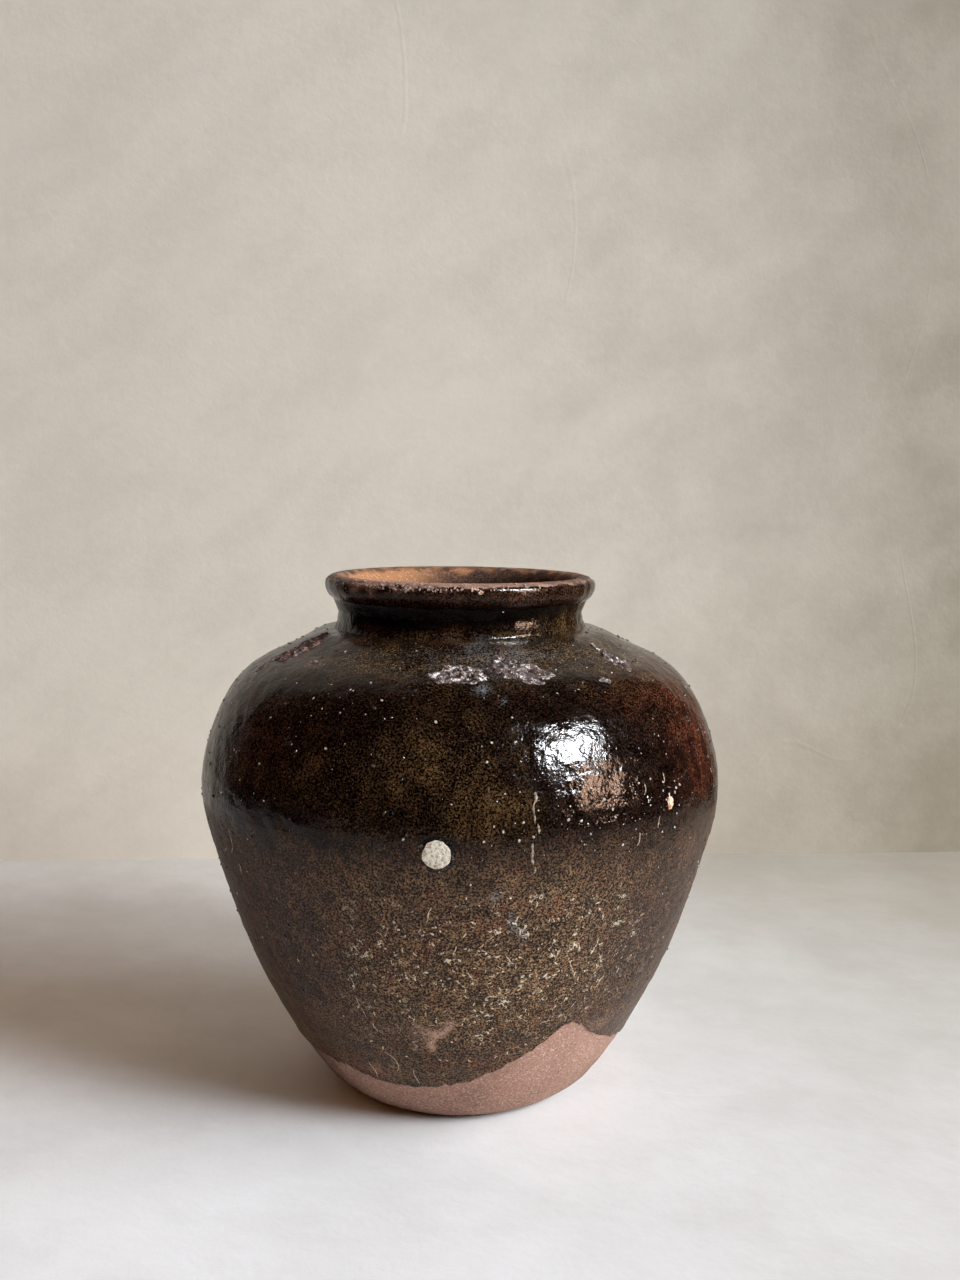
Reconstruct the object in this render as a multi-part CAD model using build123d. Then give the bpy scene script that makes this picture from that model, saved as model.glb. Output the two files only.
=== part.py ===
from build123d import *
import math
import os

# A thrown stoneware storage jar with a rolled lip, in millimetres, as it is made on the wheel:
# a base disc, three wall sections luted on top of each other, a neck collar and a rolled lip,
# then the iron glaze that it is dipped in and the marks that the kiln leaves on the glaze.
# The origin is the centre of the foot on the ground, +Z is up and the front faces -Y.

# Height of each thrown section, from the ground up
base_thickness = 12.0
lower_wall_height = 160.0
belly_wall_height = 54.0
shoulder_wall_height = 36.5
neck_height = 16.5
lip_height = 16.0
belly_rise = 7.0  # the widest ring stands this far above the lower luting seam

# Radii of the clay
foot_radius = 67.0
belly_radius = 148.9
neck_radius = 69.6

# Walls and roundings
wall = 9.0
neck_wall = 6.6
neck_waist = 0.5  # how far the neck is drawn in between its ends
neck_foot_rounding = 3.0
throat_rounding = 4.0
lip_overhang = 7.2  # how far the lip stands out past the neck

# The outside between foot and belly: shares of the way out and of the way up
lower_wall_shares = (
    (0.155, 0.0385),
    (0.262, 0.098),
    (0.392, 0.192),
    (0.526, 0.304),
    (0.744, 0.530),
    (0.906, 0.765),
    (0.966, 0.866),
)
# The outside between belly and neck: shares of the way out from the neck and of the way up from the belly
shoulder_shares = (
    (0.984, 0.156),
    (0.957, 0.260),
    (0.886, 0.448),
    (0.786, 0.623),
    (0.644, 0.764),
    (0.478, 0.853),
    (0.299, 0.922),
    (0.137, 0.975),
)
# The lip: its lower corner, its widest ring and its crown, as shares of the lip's overhang or height
lip_corner_out_share = 0.80
lip_corner_up_share = 0.33
lip_widest_up_share = 0.60
crown_out_share = 0.65  # of the way from the throat to the lip's widest ring

# The glaze, and the wavy line where it stops above the bare foot
glaze = 0.6
bare_lip_height = 1.8  # the glaze is worn off above this, down from the crown
glaze_line_low = 28.0
glaze_line_rise = 40.0
# Azimuth from the front as a share of a turn, towards +X, and height as a share of the rise
glaze_line_shares = (
    (-0.500, 0.28),
    (-0.417, 0.12),
    (-0.333, 0.38),
    (-0.250, 0.20),
    (-0.153, 0.12),
    (-0.106, 0.09),
    (-0.061, 0.00),
    (-0.022, 0.05),
    (0.017, 0.26),
    (0.050, 0.60),
    (0.082, 1.00),
    (0.111, 0.66),
    (0.139, 0.42),
    (0.183, 0.20),
    (0.250, 0.08),
    (0.333, 0.26),
    (0.417, 0.45),
)

# The stacking scars on the shoulder, each left by a pad of clay and ash under the next jar in the kiln
scar_height = 1.2
scar_ring_share = 0.434  # of the way out from the neck to the widest ring
scar_width = 16.0
# Name, azimuth as a share of a turn, share of the ring's radius, shares of the width along and across it
scar_places = (
    ("left", -0.183, 0.93, 1.10, 1.50),
    ("front", -0.002, 1.02, 1.70, 1.00),
    ("front_right", 0.044, 0.99, 1.75, 1.15),
    ("right", 0.148, 0.97, 0.60, 1.65),
    ("back_right", 0.310, 1.00, 1.30, 1.10),
    ("back", 0.478, 0.98, 1.55, 1.00),
    ("back_left", -0.345, 1.01, 1.20, 1.25),
)

# The round of white lime that sits on the glaze in front, below the widest ring
lime_spot_radius = 7.3
lime_spot_thickness = 0.5
lime_spot_drop = 6.4
lime_spot_turn_share = -0.012
lime_spot_draft_share = 0.2  # how far its cutting cone opens inwards and narrows outwards

overrun = 20.0  # how far a cutting shape runs past what it cuts

# Heights and radii that follow from the sizes above
lower_seam = base_thickness + lower_wall_height
upper_seam = lower_seam + belly_wall_height
neck_foot = upper_seam + shoulder_wall_height
neck_top = neck_foot + neck_height
jar_height = neck_top + lip_height
belly_height = lower_seam + belly_rise
throat_radius = neck_radius - neck_wall
lip_radius = neck_radius + lip_overhang
crown_radius = throat_radius + crown_out_share * (lip_radius - throat_radius)
scar_ring_radius = neck_radius + scar_ring_share * (belly_radius - neck_radius)
lime_spot_height = belly_height - lime_spot_drop

inwards = Vector(-1, 0, 0)
upwards = Vector(0, 0, 1)


def at(radius, height):
    """A point of the outline, in the plane that is turned about the axis."""
    return Vector(radius, 0, height)


def moved_out(stations, distance):
    """The stations, each moved along the outline's outward normal there."""
    last = len(stations) - 1
    moved = []
    for place, here in enumerate(stations):
        along = (stations[min(place + 1, last)] - stations[max(place - 1, 0)]).normalized()
        moved.append(here + Vector(along.Z, 0, -along.X) * distance)
    return moved


# Stations of the clay's outside, from the foot up
lower_stations = [
    at(foot_radius + out * (belly_radius - foot_radius), up * belly_height)
    for out, up in lower_wall_shares
]
shoulder_stations = [
    at(neck_radius + out * (belly_radius - neck_radius), belly_height + up * (neck_foot - belly_height))
    for out, up in shoulder_shares
]
wall_stations = [
    at(foot_radius, 0),
    *lower_stations,
    at(belly_radius, belly_height),
    *shoulder_stations,
    at(neck_radius + neck_foot_rounding, neck_foot),
]
lip_stations = [
    at(neck_radius, neck_foot + neck_foot_rounding),
    at(neck_radius - neck_waist, (neck_foot + neck_foot_rounding + neck_top) / 2),
    at(neck_radius, neck_top),
    at(neck_radius + lip_corner_out_share * lip_overhang, neck_top + lip_corner_up_share * lip_height),
    at(lip_radius, neck_top + lip_widest_up_share * lip_height),
    at(crown_radius, jar_height),
]


def turned(edges):
    """The solid that a closed outline makes when it is turned about the axis."""
    return revolve(make_face(edges), Axis.Z)


def filled_jar(skin):
    """The jar's outside as a full solid, grown by the thickness of a skin that lies on it."""
    low = moved_out(wall_stations, skin)
    low[0] = at(foot_radius + skin, 0)
    neck_start, neck_middle, neck_end, corner, widest, crown = moved_out(lip_stations, skin)
    shoulder_end = low[-1] - low[-2]
    centre = at(0, 0)
    centre_top = at(0, crown.Z)
    return turned(
        [
            Spline(low),
            Spline([low[-1], neck_start], tangents=[shoulder_end, upwards]),
            ThreePointArc(neck_start, neck_middle, neck_end),
            Line(neck_end, corner),
            Spline([corner, widest, crown], tangents=[widest - corner, upwards, inwards]),
            Line(crown, centre_top),
            Line(centre_top, centre),
            Line(centre, low[0]),
        ]
    )


def hollow():
    """The space inside the jar, up through the throat and out over the crown."""
    inner = moved_out(wall_stations, -wall)
    above_base = [
        inner_station
        for inner_station, outer_station in zip(inner[:-1], wall_stations)
        if outer_station.Z > base_thickness
    ]
    ceiling = neck_foot - wall
    floor_edge = at(foot_radius, base_thickness)
    ceiling_edge = at(throat_radius + throat_rounding, ceiling)
    throat_start = at(throat_radius, ceiling + throat_rounding)
    crown = at(crown_radius, jar_height)
    flare = crown_radius - throat_radius
    flare_start = at(throat_radius, jar_height - flare)
    halfway = flare * math.sin(math.pi / 4)
    flare_middle = at(crown_radius - halfway, flare_start.Z + halfway)
    above = at(crown_radius, jar_height + overrun)
    centre_above = at(0, jar_height + overrun)
    centre_floor = at(0, base_thickness)
    return turned(
        [
            Line(centre_floor, floor_edge),
            Spline([floor_edge, *above_base, ceiling_edge]),
            Spline([ceiling_edge, throat_start], tangents=[inwards, upwards]),
            Line(throat_start, flare_start),
            ThreePointArc(flare_start, flare_middle, crown),
            Line(crown, above),
            Line(above, centre_above),
            Line(centre_above, centre_floor),
        ]
    )


def slab(low, high):
    """A round slab wider than the jar, between two heights."""
    return Pos(0, 0, low) * Cylinder(
        belly_radius + overrun, high - low, align=(Align.CENTER, Align.CENTER, Align.MIN)
    )


def facing(turn_share, height):
    """The plane across the jar's axis line at a height, looking out at an azimuth from the front."""
    azimuth = turn_share * 2 * math.pi
    return Plane(origin=(0, 0, height), x_dir=(0, 0, 1), z_dir=(math.sin(azimuth), -math.cos(azimuth), 0))


def glaze_line(radius):
    """The wavy line where the glaze stops, drawn at one radius about the axis."""
    points = []
    for turn_share, up in glaze_line_shares:
        azimuth = turn_share * 2 * math.pi
        height = glaze_line_low + up * glaze_line_rise
        points.append((radius * math.sin(azimuth), -radius * math.cos(azimuth), height))
    return Spline(points, periodic=True)


def bare_foot():
    """Everything below the wavy glaze line, from inside the base's edge to outside the belly."""
    line_face = Face.make_surface_from_curves(
        glaze_line(foot_radius - overrun), glaze_line(belly_radius + overrun)
    )
    return extrude(line_face, amount=glaze_line_low + glaze_line_rise + overrun, dir=(0, 0, -1))


def spot_cone():
    """A steep cone that runs out through the wall where the lime spot is, to give the spot a sloping edge."""
    inner_radius = lime_spot_radius * (1 + lime_spot_draft_share)
    outer_radius = lime_spot_radius * (1 - lime_spot_draft_share)
    through_wall = Pos(0, 0, belly_radius) * Cone(inner_radius, outer_radius, 2 * overrun)
    return facing(lime_spot_turn_share, lime_spot_height) * through_wall


def scar_column(turn_share, radius_share, along_share, across_share):
    """An upright oval column through one stacking scar, from the belly up past the neck's foot."""
    azimuth = turn_share * 2 * math.pi
    radius = scar_ring_radius * radius_share
    oval = Ellipse(scar_width * along_share / 2, scar_width * across_share / 2)
    column = extrude(oval, amount=neck_foot + neck_foot_rounding - belly_height)
    place = Pos(radius * math.sin(azimuth), -radius * math.cos(azimuth), belly_height)
    return place * Rot(0, 0, math.degrees(azimuth)) * column


# The clay, cut at its luting seams into the sections that were thrown
outside = filled_jar(0)
clay = outside - hollow()
section_tops = (
    ("base_disc", base_thickness),
    ("lower_wall", lower_seam),
    ("belly_wall", upper_seam),
    ("shoulder_wall", neck_foot),
    ("neck_collar", neck_top),
    ("rim_roll", jar_height),
)
parts = {}
section_low = 0
for name, section_high in section_tops:
    parts[name] = clay & slab(section_low, section_high)
    section_low = section_high

# The glaze, a skin on the clay between the worn crown and the bare foot
glazed_outside = filled_jar(glaze)
coat = glazed_outside - outside
coat -= slab(jar_height - bare_lip_height, jar_height + overrun)
coat -= bare_foot()
parts["glaze_coat"] = coat

# The lime spot, a thin round that follows the belly on top of the glaze
lime_skin = filled_jar(glaze + lime_spot_thickness) - glazed_outside
lime_band = slab(lime_spot_height - 2 * lime_spot_radius, lime_spot_height + 2 * lime_spot_radius)
parts["lime_spot"] = lime_skin & lime_band & spot_cone()

# The stacking scars, thin pads that follow the shoulder on top of the glaze
scar_skin = filled_jar(glaze + scar_height) - glazed_outside
for place_name, turn_share, radius_share, along_share, across_share in scar_places:
    column = scar_column(turn_share, radius_share, along_share, across_share)
    parts["stacking_scar_" + place_name] = scar_skin & column

os.makedirs("parts", exist_ok=True)
for name, shape in parts.items():
    export_step(shape, os.path.join("parts", name + ".step"))
    print(name, len(shape.solids()), "solid,", round(shape.volume), "cubic mm")
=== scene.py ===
"""Looks of a glazed stoneware storage jar: clay, iron glaze, kiln marks, wear, floor, light and camera."""

import logging
import math
from collections.abc import Callable
from dataclasses import dataclass
from enum import Enum
from typing import Any

import bpy
import numpy as np
from mathutils import Euler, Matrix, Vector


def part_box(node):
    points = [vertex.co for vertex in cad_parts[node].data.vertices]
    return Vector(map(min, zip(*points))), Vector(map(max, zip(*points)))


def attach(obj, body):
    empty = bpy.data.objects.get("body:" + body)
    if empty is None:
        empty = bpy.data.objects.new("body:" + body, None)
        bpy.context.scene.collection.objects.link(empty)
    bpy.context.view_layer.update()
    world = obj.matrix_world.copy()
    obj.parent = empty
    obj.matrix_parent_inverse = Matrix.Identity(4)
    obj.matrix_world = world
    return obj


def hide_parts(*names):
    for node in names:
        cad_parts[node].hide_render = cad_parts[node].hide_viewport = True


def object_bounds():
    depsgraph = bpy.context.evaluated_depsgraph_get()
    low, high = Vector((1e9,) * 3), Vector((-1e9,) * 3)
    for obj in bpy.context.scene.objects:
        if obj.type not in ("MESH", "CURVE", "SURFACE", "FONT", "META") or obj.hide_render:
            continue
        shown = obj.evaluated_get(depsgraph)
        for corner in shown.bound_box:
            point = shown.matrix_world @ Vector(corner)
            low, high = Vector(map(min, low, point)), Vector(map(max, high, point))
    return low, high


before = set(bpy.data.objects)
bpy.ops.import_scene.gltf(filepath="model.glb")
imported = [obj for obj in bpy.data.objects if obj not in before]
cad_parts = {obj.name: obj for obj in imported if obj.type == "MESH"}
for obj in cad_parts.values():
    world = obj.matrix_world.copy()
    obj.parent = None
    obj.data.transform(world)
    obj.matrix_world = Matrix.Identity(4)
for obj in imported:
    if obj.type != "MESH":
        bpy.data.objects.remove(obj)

Add = Callable[..., Any]
Array = np.ndarray
Material = bpy.types.Material
Piece = bpy.types.Object
Row = tuple[float, ...]

CAD_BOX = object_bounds()
LOG = logging.getLogger("jar")
MM = 0.001
TURN = 2 * math.pi
BODY = "root"
CLAY_NODES = ("base_disc", "lower_wall", "belly_wall", "shoulder_wall", "neck_collar", "rim_roll")
GLAZE_MASKS = ("olive", "flash", "purple", "pale", "flecks_and_glints", "worn", "bloom_and_sheen", "dull")


class Slot(Enum):
    """The record's material slots."""

    CLAY = "bare_stoneware"
    GLAZE = "iron_glaze"
    SCAR = "kiln_scar"
    LIME = "lime"


class Side(Enum):
    """The two faces of the thrown wall, by the sign of their normals away from the axis."""

    OUTSIDE = 1
    INSIDE = -1


# Numbers and curves that all the pieces share


def smooth_step(low: float, high: float, value: Array) -> Array:
    """A soft step from 0 at low to 1 at high: 3t^2 - 2t^3 of the share t of the way."""
    share = np.clip((value - low) / (high - low), 0.0, 1.0)
    return share * share * (3.0 - 2.0 * share)


def between(edges: Row, value: Array) -> Array:
    """A band with a soft rise between the first two edges and a soft fall between the last two."""
    return smooth_step(edges[0], edges[1], value) * (1 - smooth_step(edges[2], edges[3], value))


def wave_noise(points: Array, wavelength: float, seed: int, waves: int = 36) -> Array:
    """Smooth noise in space: a sum of plane waves of like length in random directions.

    Args:
        points: places in metres, the last axis being x, y and z.
        wavelength: the middle wavelength in metres.
        seed: picks the directions and phases.
        waves: how many waves are added.

    Returns:
        Values about 0, mostly within -1.5 and 1.5.
    """
    random = np.random.default_rng(seed)
    direction = random.normal(size=(waves, 3))
    direction /= np.linalg.norm(direction, axis=1, keepdims=True)
    length = wavelength * random.uniform(0.7, 1.5, waves)
    phase = random.uniform(0.0, TURN, waves)
    turns = points @ (direction * (TURN / length)[:, None]).T + phase
    return np.sin(turns).sum(axis=-1) * math.sqrt(1.0 / waves)


def cubic(place: Array, value: Array, at: Array) -> Array:
    """A smooth curve through stations: on each span the cubic that has both ends' values and mean slopes.

    Args:
        place: the stations' places, rising.
        value: the number or numbers at each station.
        at: the places to work out.

    Returns:
        The number or numbers at each place.
    """
    slope = np.gradient(value, place, axis=0)
    index = np.clip(np.searchsorted(place, at, side="right") - 1, 0, len(place) - 2)
    span = place[index + 1] - place[index]
    t = (at - place[index]) / span
    if value.ndim > 1:
        span, t = span[:, None], t[:, None]
    start = (2 * t**3 - 3 * t**2 + 1) * value[index] + (t**3 - 2 * t**2 + t) * slope[index] * span
    return start + (3 * t**2 - 2 * t**3) * value[index + 1] + (t**3 - t**2) * slope[index + 1] * span


def turned(radius: Array, height: Array, azimuth: Array) -> Array:
    """Points about the jar's axis: (r sin a, -r cos a, z), with azimuth 0 at the front."""
    return np.stack([radius * np.sin(azimuth), -radius * np.cos(azimuth), height + 0.0 * azimuth], axis=-1)


def azimuth_of(points: Array) -> Array:
    """Radians from the front of points in space."""
    return np.arctan2(points[..., 0], -points[..., 1])


def wrapped(angle: Array) -> Array:
    """Angles as the same directions within half a turn of the front."""
    return (angle + math.pi) % TURN - math.pi


def around(count: int) -> Array:
    """Evenly spaced azimuths for one turn, without the last one that meets the first."""
    return np.arange(count) * (TURN / count) - math.pi


def node_points(node: str) -> Array:
    """The corners of a CAD node's mesh.

    Args:
        node: the node's name.

    Returns:
        Points in metres, (n, 3).
    """
    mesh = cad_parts[node].data
    places = np.empty(len(mesh.vertices) * 3)
    mesh.vertices.foreach_get("co", places)
    return places.reshape(-1, 3)


def mesh_object(name: str, vertices: Array, faces: Array, smooth: bool = True) -> Piece:
    """Puts whole arrays into a new mesh and its object.

    Args:
        name: the piece's name.
        vertices: points in metres, (n, 3).
        faces: corner numbers, (m, 4), where a triangle repeats its last corner.
        smooth: shades the faces smooth.

    Returns:
        The object, at the origin and linked to the scene.
    """
    sizes = np.where(faces[:, 2] == faces[:, 3], 3, 4)
    corners = faces[np.arange(4)[None, :] < sizes[:, None]]
    mesh = bpy.data.meshes.new(name)
    mesh.vertices.add(len(vertices))
    mesh.vertices.foreach_set("co", np.asarray(vertices, np.float32).ravel())
    mesh.loops.add(len(corners))
    mesh.loops.foreach_set("vertex_index", corners.astype(np.int32))
    mesh.polygons.add(len(faces))
    mesh.polygons.foreach_set("loop_start", np.append(0, np.cumsum(sizes)[:-1]).astype(np.int32))
    mesh.polygons.foreach_set("use_smooth", np.full(len(faces), smooth))
    mesh.update(calc_edges=True)
    mesh.validate()
    piece = bpy.data.objects.new(name, mesh)
    bpy.context.scene.collection.objects.link(piece)
    return piece


def grid_faces(rows: int, columns: int, rows_close: bool) -> Array:
    """Faces of a grid of points whose columns close round the axis.

    Args:
        rows: how many rows of points.
        columns: how many points in a row.
        rows_close: joins the last row to the first one.

    Returns:
        Corner numbers, (m, 4), facing outwards where rows run up the outside.
    """
    row = np.arange(rows if rows_close else rows - 1)[:, None]
    column = np.arange(columns)[None, :]
    here, above, beside = row * columns, (row + 1) % rows * columns, (column + 1) % columns
    corners = [here + column, here + beside, above + beside, above + column]
    return np.stack(np.broadcast_arrays(*corners), axis=-1).reshape(-1, 4)


def ring_piece(name: str, points: Array) -> Piece:
    """A closed shell from a grid whose rows and columns both close, as the skin of a ring does."""
    return mesh_object(name, points.reshape(-1, 3), grid_faces(*points.shape[:2], True))


def repeated_piece(name: str, points: Array, faces: Array) -> Piece:
    """One mesh of many like shells, (shells, points, 3), from the faces of the first."""
    first = (np.arange(len(points)) * points.shape[1])[:, None, None]
    return mesh_object(name, points.reshape(-1, 3), (faces[None] + first).reshape(-1, 4))


def disc_shells(name: str, points: Array) -> Piece:
    """Many small closed shells in one mesh, each a grid whose first and last rows shrink to a point.

    Args:
        name: the piece's name.
        points: (shells, rows, columns, 3), rows from the middle below, round the edge, to the middle above.

    Returns:
        The object.
    """
    shells, rows, columns = points.shape[:3]
    poles = points[:, [0, -1]].mean(axis=2)
    vertices = np.concatenate([points[:, 1:-1].reshape(shells, -1, 3), poles], axis=1)
    column = np.arange(columns)
    beside = (column + 1) % columns
    top = (rows - 3) * columns
    low_pole = np.full(columns, (rows - 2) * columns)
    low_fan = np.stack([low_pole, beside, column, column], axis=-1)
    high_fan = np.stack([low_pole + 1, top + column, top + beside, top + beside], axis=-1)
    faces = np.concatenate([grid_faces(rows - 2, columns, False), low_fan, high_fan])
    return repeated_piece(name, vertices, faces)


def dress(piece: Piece, material: Material, slot: Slot, *nodes: str, **masks: Array) -> Piece:
    """Gives a piece its finish, its body, the nodes that it stands for and its masks.

    Args:
        piece: the finished mesh object.
        material: its finish.
        slot: not used.
        nodes: the CAD nodes that it replaces.
        masks: one number per point under each name, for the finish to read.

    Returns:
        The same piece.
    """
    for name, mask in masks.items():
        attribute = piece.data.attributes.new(name, "FLOAT", "POINT")
        attribute.data.foreach_set("value", np.asarray(mask, np.float32).ravel())
    piece.data.materials.append(material)
    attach(piece, BODY)
    if nodes:
        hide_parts(*nodes)
    LOG.info("%s: %d faces", piece.name, len(piece.data.polygons))
    return piece


# The jar's outline, read from the frame, and its relief


class Outline:
    """One side of the wall in the plane through the axis, as a smooth line from low to high."""

    def __init__(self, side: Side, nodes: tuple[str, ...], spacing: float = 0.4 * MM) -> None:
        """Reads the turned nodes' corners on that side and draws a cubic curve through them.

        Args:
            side: the wall's outside or inside.
            nodes: the CAD nodes to read.
            spacing: how finely the curve is sampled.
        """
        stations = self.eased(self.stations(side, nodes))
        place = np.append(0.0, np.cumsum(np.linalg.norm(np.diff(stations, axis=0), axis=1)))
        self.side = side
        self.along = np.arange(0.0, place[-1], spacing)
        line = cubic(place, stations, self.along)
        self.radius, self.height = line.T
        direction = np.gradient(line, self.along, axis=0)
        direction *= side.value / np.linalg.norm(direction, axis=1, keepdims=True)
        self.out, self.up = direction[:, 1], -direction[:, 0]

    @staticmethod
    def stations(side: Side, nodes: tuple[str, ...]) -> Array:
        """The corners of the faces that look away from the axis, or towards it.

        Args:
            side: the wall's outside or inside.
            nodes: the CAD nodes to read.

        Returns:
            Each station's radius and height, from low to high.
        """
        found = []
        for name in nodes:
            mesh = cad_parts[name].data
            mesh.calc_loop_triangles()
            numbers = np.empty(len(mesh.loop_triangles) * 3, np.int32)
            mesh.loop_triangles.foreach_get("vertices", numbers)
            corners = node_points(name)[numbers.reshape(-1, 3)]
            normal = np.cross(corners[:, 1] - corners[:, 0], corners[:, 2] - corners[:, 0])
            normal /= np.linalg.norm(normal, axis=1, keepdims=True) + 1e-20
            centre = corners.mean(axis=1)[:, :2]
            centre /= np.linalg.norm(centre, axis=1, keepdims=True) + 1e-20
            away = (normal[:, :2] * centre).sum(axis=1)
            found.append(corners[away * side.value > 0.02].reshape(-1, 3))
        corners = np.concatenate(found)
        line = np.stack([np.hypot(corners[:, 0], corners[:, 1]), corners[:, 2]], axis=-1)
        line = line[np.lexsort((line[:, 0] * side.value, line[:, 1]))]
        group = np.append(0, np.cumsum(np.linalg.norm(np.diff(line, axis=0), axis=1) > 0.3 * MM))
        return np.stack([np.bincount(group, part) for part in line.T], axis=-1) / np.bincount(group)[:, None]

    @staticmethod
    def eased(stations: Array, sharp: float = 0.3, reach: float = 0.7 * MM) -> Array:
        """Adds a station close to each side of a sharp corner, so that the curve turns there and not before.

        Args:
            stations: radius and height, from low to high.
            sharp: the least turn in radians that counts as a corner.
            reach: how far from the corner the new stations stand, up to a third of the way to the next one.

        Returns:
            The stations with the new ones among them.
        """
        step = np.diff(stations, axis=0)
        heading = np.unwrap(np.arctan2(step[:, 1], step[:, 0]))
        corner = np.flatnonzero(np.abs(np.diff(heading)) > sharp) + 1
        step *= np.minimum(reach / np.linalg.norm(step, axis=1), 0.33)[:, None]
        more = [stations, stations[corner] - step[corner - 1], stations[corner] + step[corner]]
        order = np.concatenate([np.arange(len(stations)), corner - 0.4, corner + 0.4])
        return np.concatenate(more)[np.argsort(order)]

    def nearest(self, radius: Array, height: Array) -> Array:
        """How far along the line the nearest place to each point is."""
        away = np.hypot(radius[:, None] - self.radius, height[:, None] - self.height)
        return self.along[away.argmin(axis=1)]

    def place_of(self, height: Array) -> Array:
        """How far along the line a height is."""
        return np.interp(height, self.height, self.along)

    def at(self, along: Array) -> tuple[Array, Array, Array, Array]:
        """Radius, height, and the normal's two parts, at places along the line."""
        parts = (self.radius, self.height, self.out, self.up)
        return tuple(np.interp(along, self.along, part) for part in parts)


@dataclass(frozen=True)
class Relief:
    """How the thrown wall departs from a true turned shape: throwing rings, lumps and a little lean.

    Depths and widths are metres. Spans are millimetres above the ground.
    """

    oval: float = 0.45 * MM
    ring_spacing: float = 8.5 * MM
    ring_depth: float = 0.11 * MM
    inner_ring_spacing: float = 11.0 * MM
    inner_ring_depth: float = 0.45 * MM
    lump_width: float = 46.0 * MM
    lump_depth: float = 0.20 * MM
    dent_width: float = 11.0 * MM
    dent_depth: float = 0.10 * MM
    collar_swell: float = 2.1 * MM
    waist_fill: float = 0.5 * MM
    lip_drift: float = 0.35 * MM
    settle: float = 0.35 * MM
    droop: float = 1.5 * MM
    wall_span: Row = (1.4, 7.0, 250.0, 262.0)
    inner_span: Row = (12.0, 30.0, 236.0, 250.0)
    lip_span: Row = (279.0, 284.0, 289.0, 294.5)
    waist_middle: float = 272.2
    waist_reach: float = 6.8
    collar_rise: Row = (254.0, 260.5)
    collar_falls: tuple[Row, ...] = ((0.63, 260.0, 264.5), (0.25, 270.6, 273.3))  # share and span
    collar_end: Row = (0.12, 265.0, 14.0)  # share, start and length

    def raised(self, azimuth: Array, height: Array, rise: Array) -> Array:
        """Heights after a rise, with the lip hanging lower on its right, and none above the jar's top."""
        droop = self.droop * (0.5 + 0.5 * np.sin(azimuth)) * smooth_step(0.258, 0.285, height)
        return np.minimum(height + rise - droop, CAD_BOX[1][2])

    def outside(self, azimuth: Array, height: Array, radius: Array) -> Array:
        """How far the outside stands off its turned line, along the normal.

        A slow oval, rings that run round with an uneven depth, lumps and small dents, all calm at the foot.

        Args:
            azimuth: radians from the front.
            height: metres.
            radius: the turned line's, in metres.

        Returns:
            Metres.
        """
        points, level = turned(radius, height, azimuth), height / MM
        share = np.clip(level / self.wall_span[3], 0, 1)
        oval = self.oval * np.cos(2.0 * azimuth - 0.9) * np.sin(np.pi * share)
        phase = azimuth + 1.05 * wave_noise(points, 60 * MM, 3)
        strength = 0.5 + 0.5 * wave_noise(points * (0.6, 0.6, 1.0), 50 * MM, 4)
        rings = self.ring_depth * strength * np.sin(TURN * height / self.ring_spacing + phase)
        lumps = self.lump_depth * wave_noise(points, self.lump_width, 5)
        dents = self.dent_depth * wave_noise(points, self.dent_width, 6)
        dents = dents * smooth_step(0.0, self.wall_span[1], level)
        waist = self.waist_fill * np.clip(1 - ((level - self.waist_middle) / self.waist_reach) ** 2, 0, 1)
        share, start, length = self.collar_end
        falls = share * np.clip((level - start) / length, 0, 1)
        falls = falls + sum(part * smooth_step(low, high, level) for part, low, high in self.collar_falls)
        swell = self.collar_swell * smooth_step(*self.collar_rise, level) * (1 - falls)
        drift = 1.0 + 0.15 * wave_noise(points, 45 * MM, 8)
        lip = between(self.lip_span, level) * self.lip_drift * wave_noise(points, 38 * MM, 9)
        wall = between(self.wall_span, level) * (oval + rings + lumps - self.settle)
        return wall + dents + waist + drift * swell + lip

    def inside(self, azimuth: Array, height: Array, radius: Array) -> Array:
        """How far the inside's finger rings and lumps stand towards the axis.

        Args:
            azimuth: radians from the front.
            height: metres.
            radius: the turned line's, in metres.

        Returns:
            Metres.
        """
        points = turned(radius, height, azimuth)
        rings = self.inner_ring_depth * np.sin(TURN * height / self.inner_ring_spacing + azimuth)
        lumps = 0.3 * MM * wave_noise(points, 40 * MM, 11) + 0.12 * MM * wave_noise(points, 9 * MM, 12)
        return between(self.inner_span, height / MM) * (rings + lumps)


@dataclass(frozen=True)
class Skin:
    """One side of the clay with its relief, as places by azimuth and by distance along the outline."""

    outline: Outline
    relief: Relief

    def points(self, azimuth: Array, along: Array, lift: Array | float = 0.0) -> Array:
        """Places that stand off the clay by a lift.

        Args:
            azimuth: radians from the front.
            along: metres along the outline from the foot.
            lift: metres out from the clay.

        Returns:
            Points in space, (..., 3).
        """
        radius, height, out, up = self.outline.at(along)
        relief = self.relief.outside if self.outline.side is Side.OUTSIDE else self.relief.inside
        stand = relief(azimuth, height, radius) + lift
        return turned(radius + out * stand, self.relief.raised(azimuth, height, up * stand), azimuth)

    def patch_points(self, azimuth: Array, along: Array, right: Array, rise: Array, lift: Array) -> Array:
        """Places near a middle, given as metres to the right and up along the surface, and a lift."""
        radius = np.interp(along, self.outline.along, self.outline.radius)
        return self.points(azimuth + right / radius, along + rise, lift)


# Nodes of the finishes


@dataclass(frozen=True)
class Step:
    """A kind of node: its type, its inputs in the order of the values given, its output and its settings."""

    kind: str
    inputs: tuple[str | int, ...] = ()
    output: str | int = 0
    settings: tuple[tuple[str, Any], ...] = ()


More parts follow.
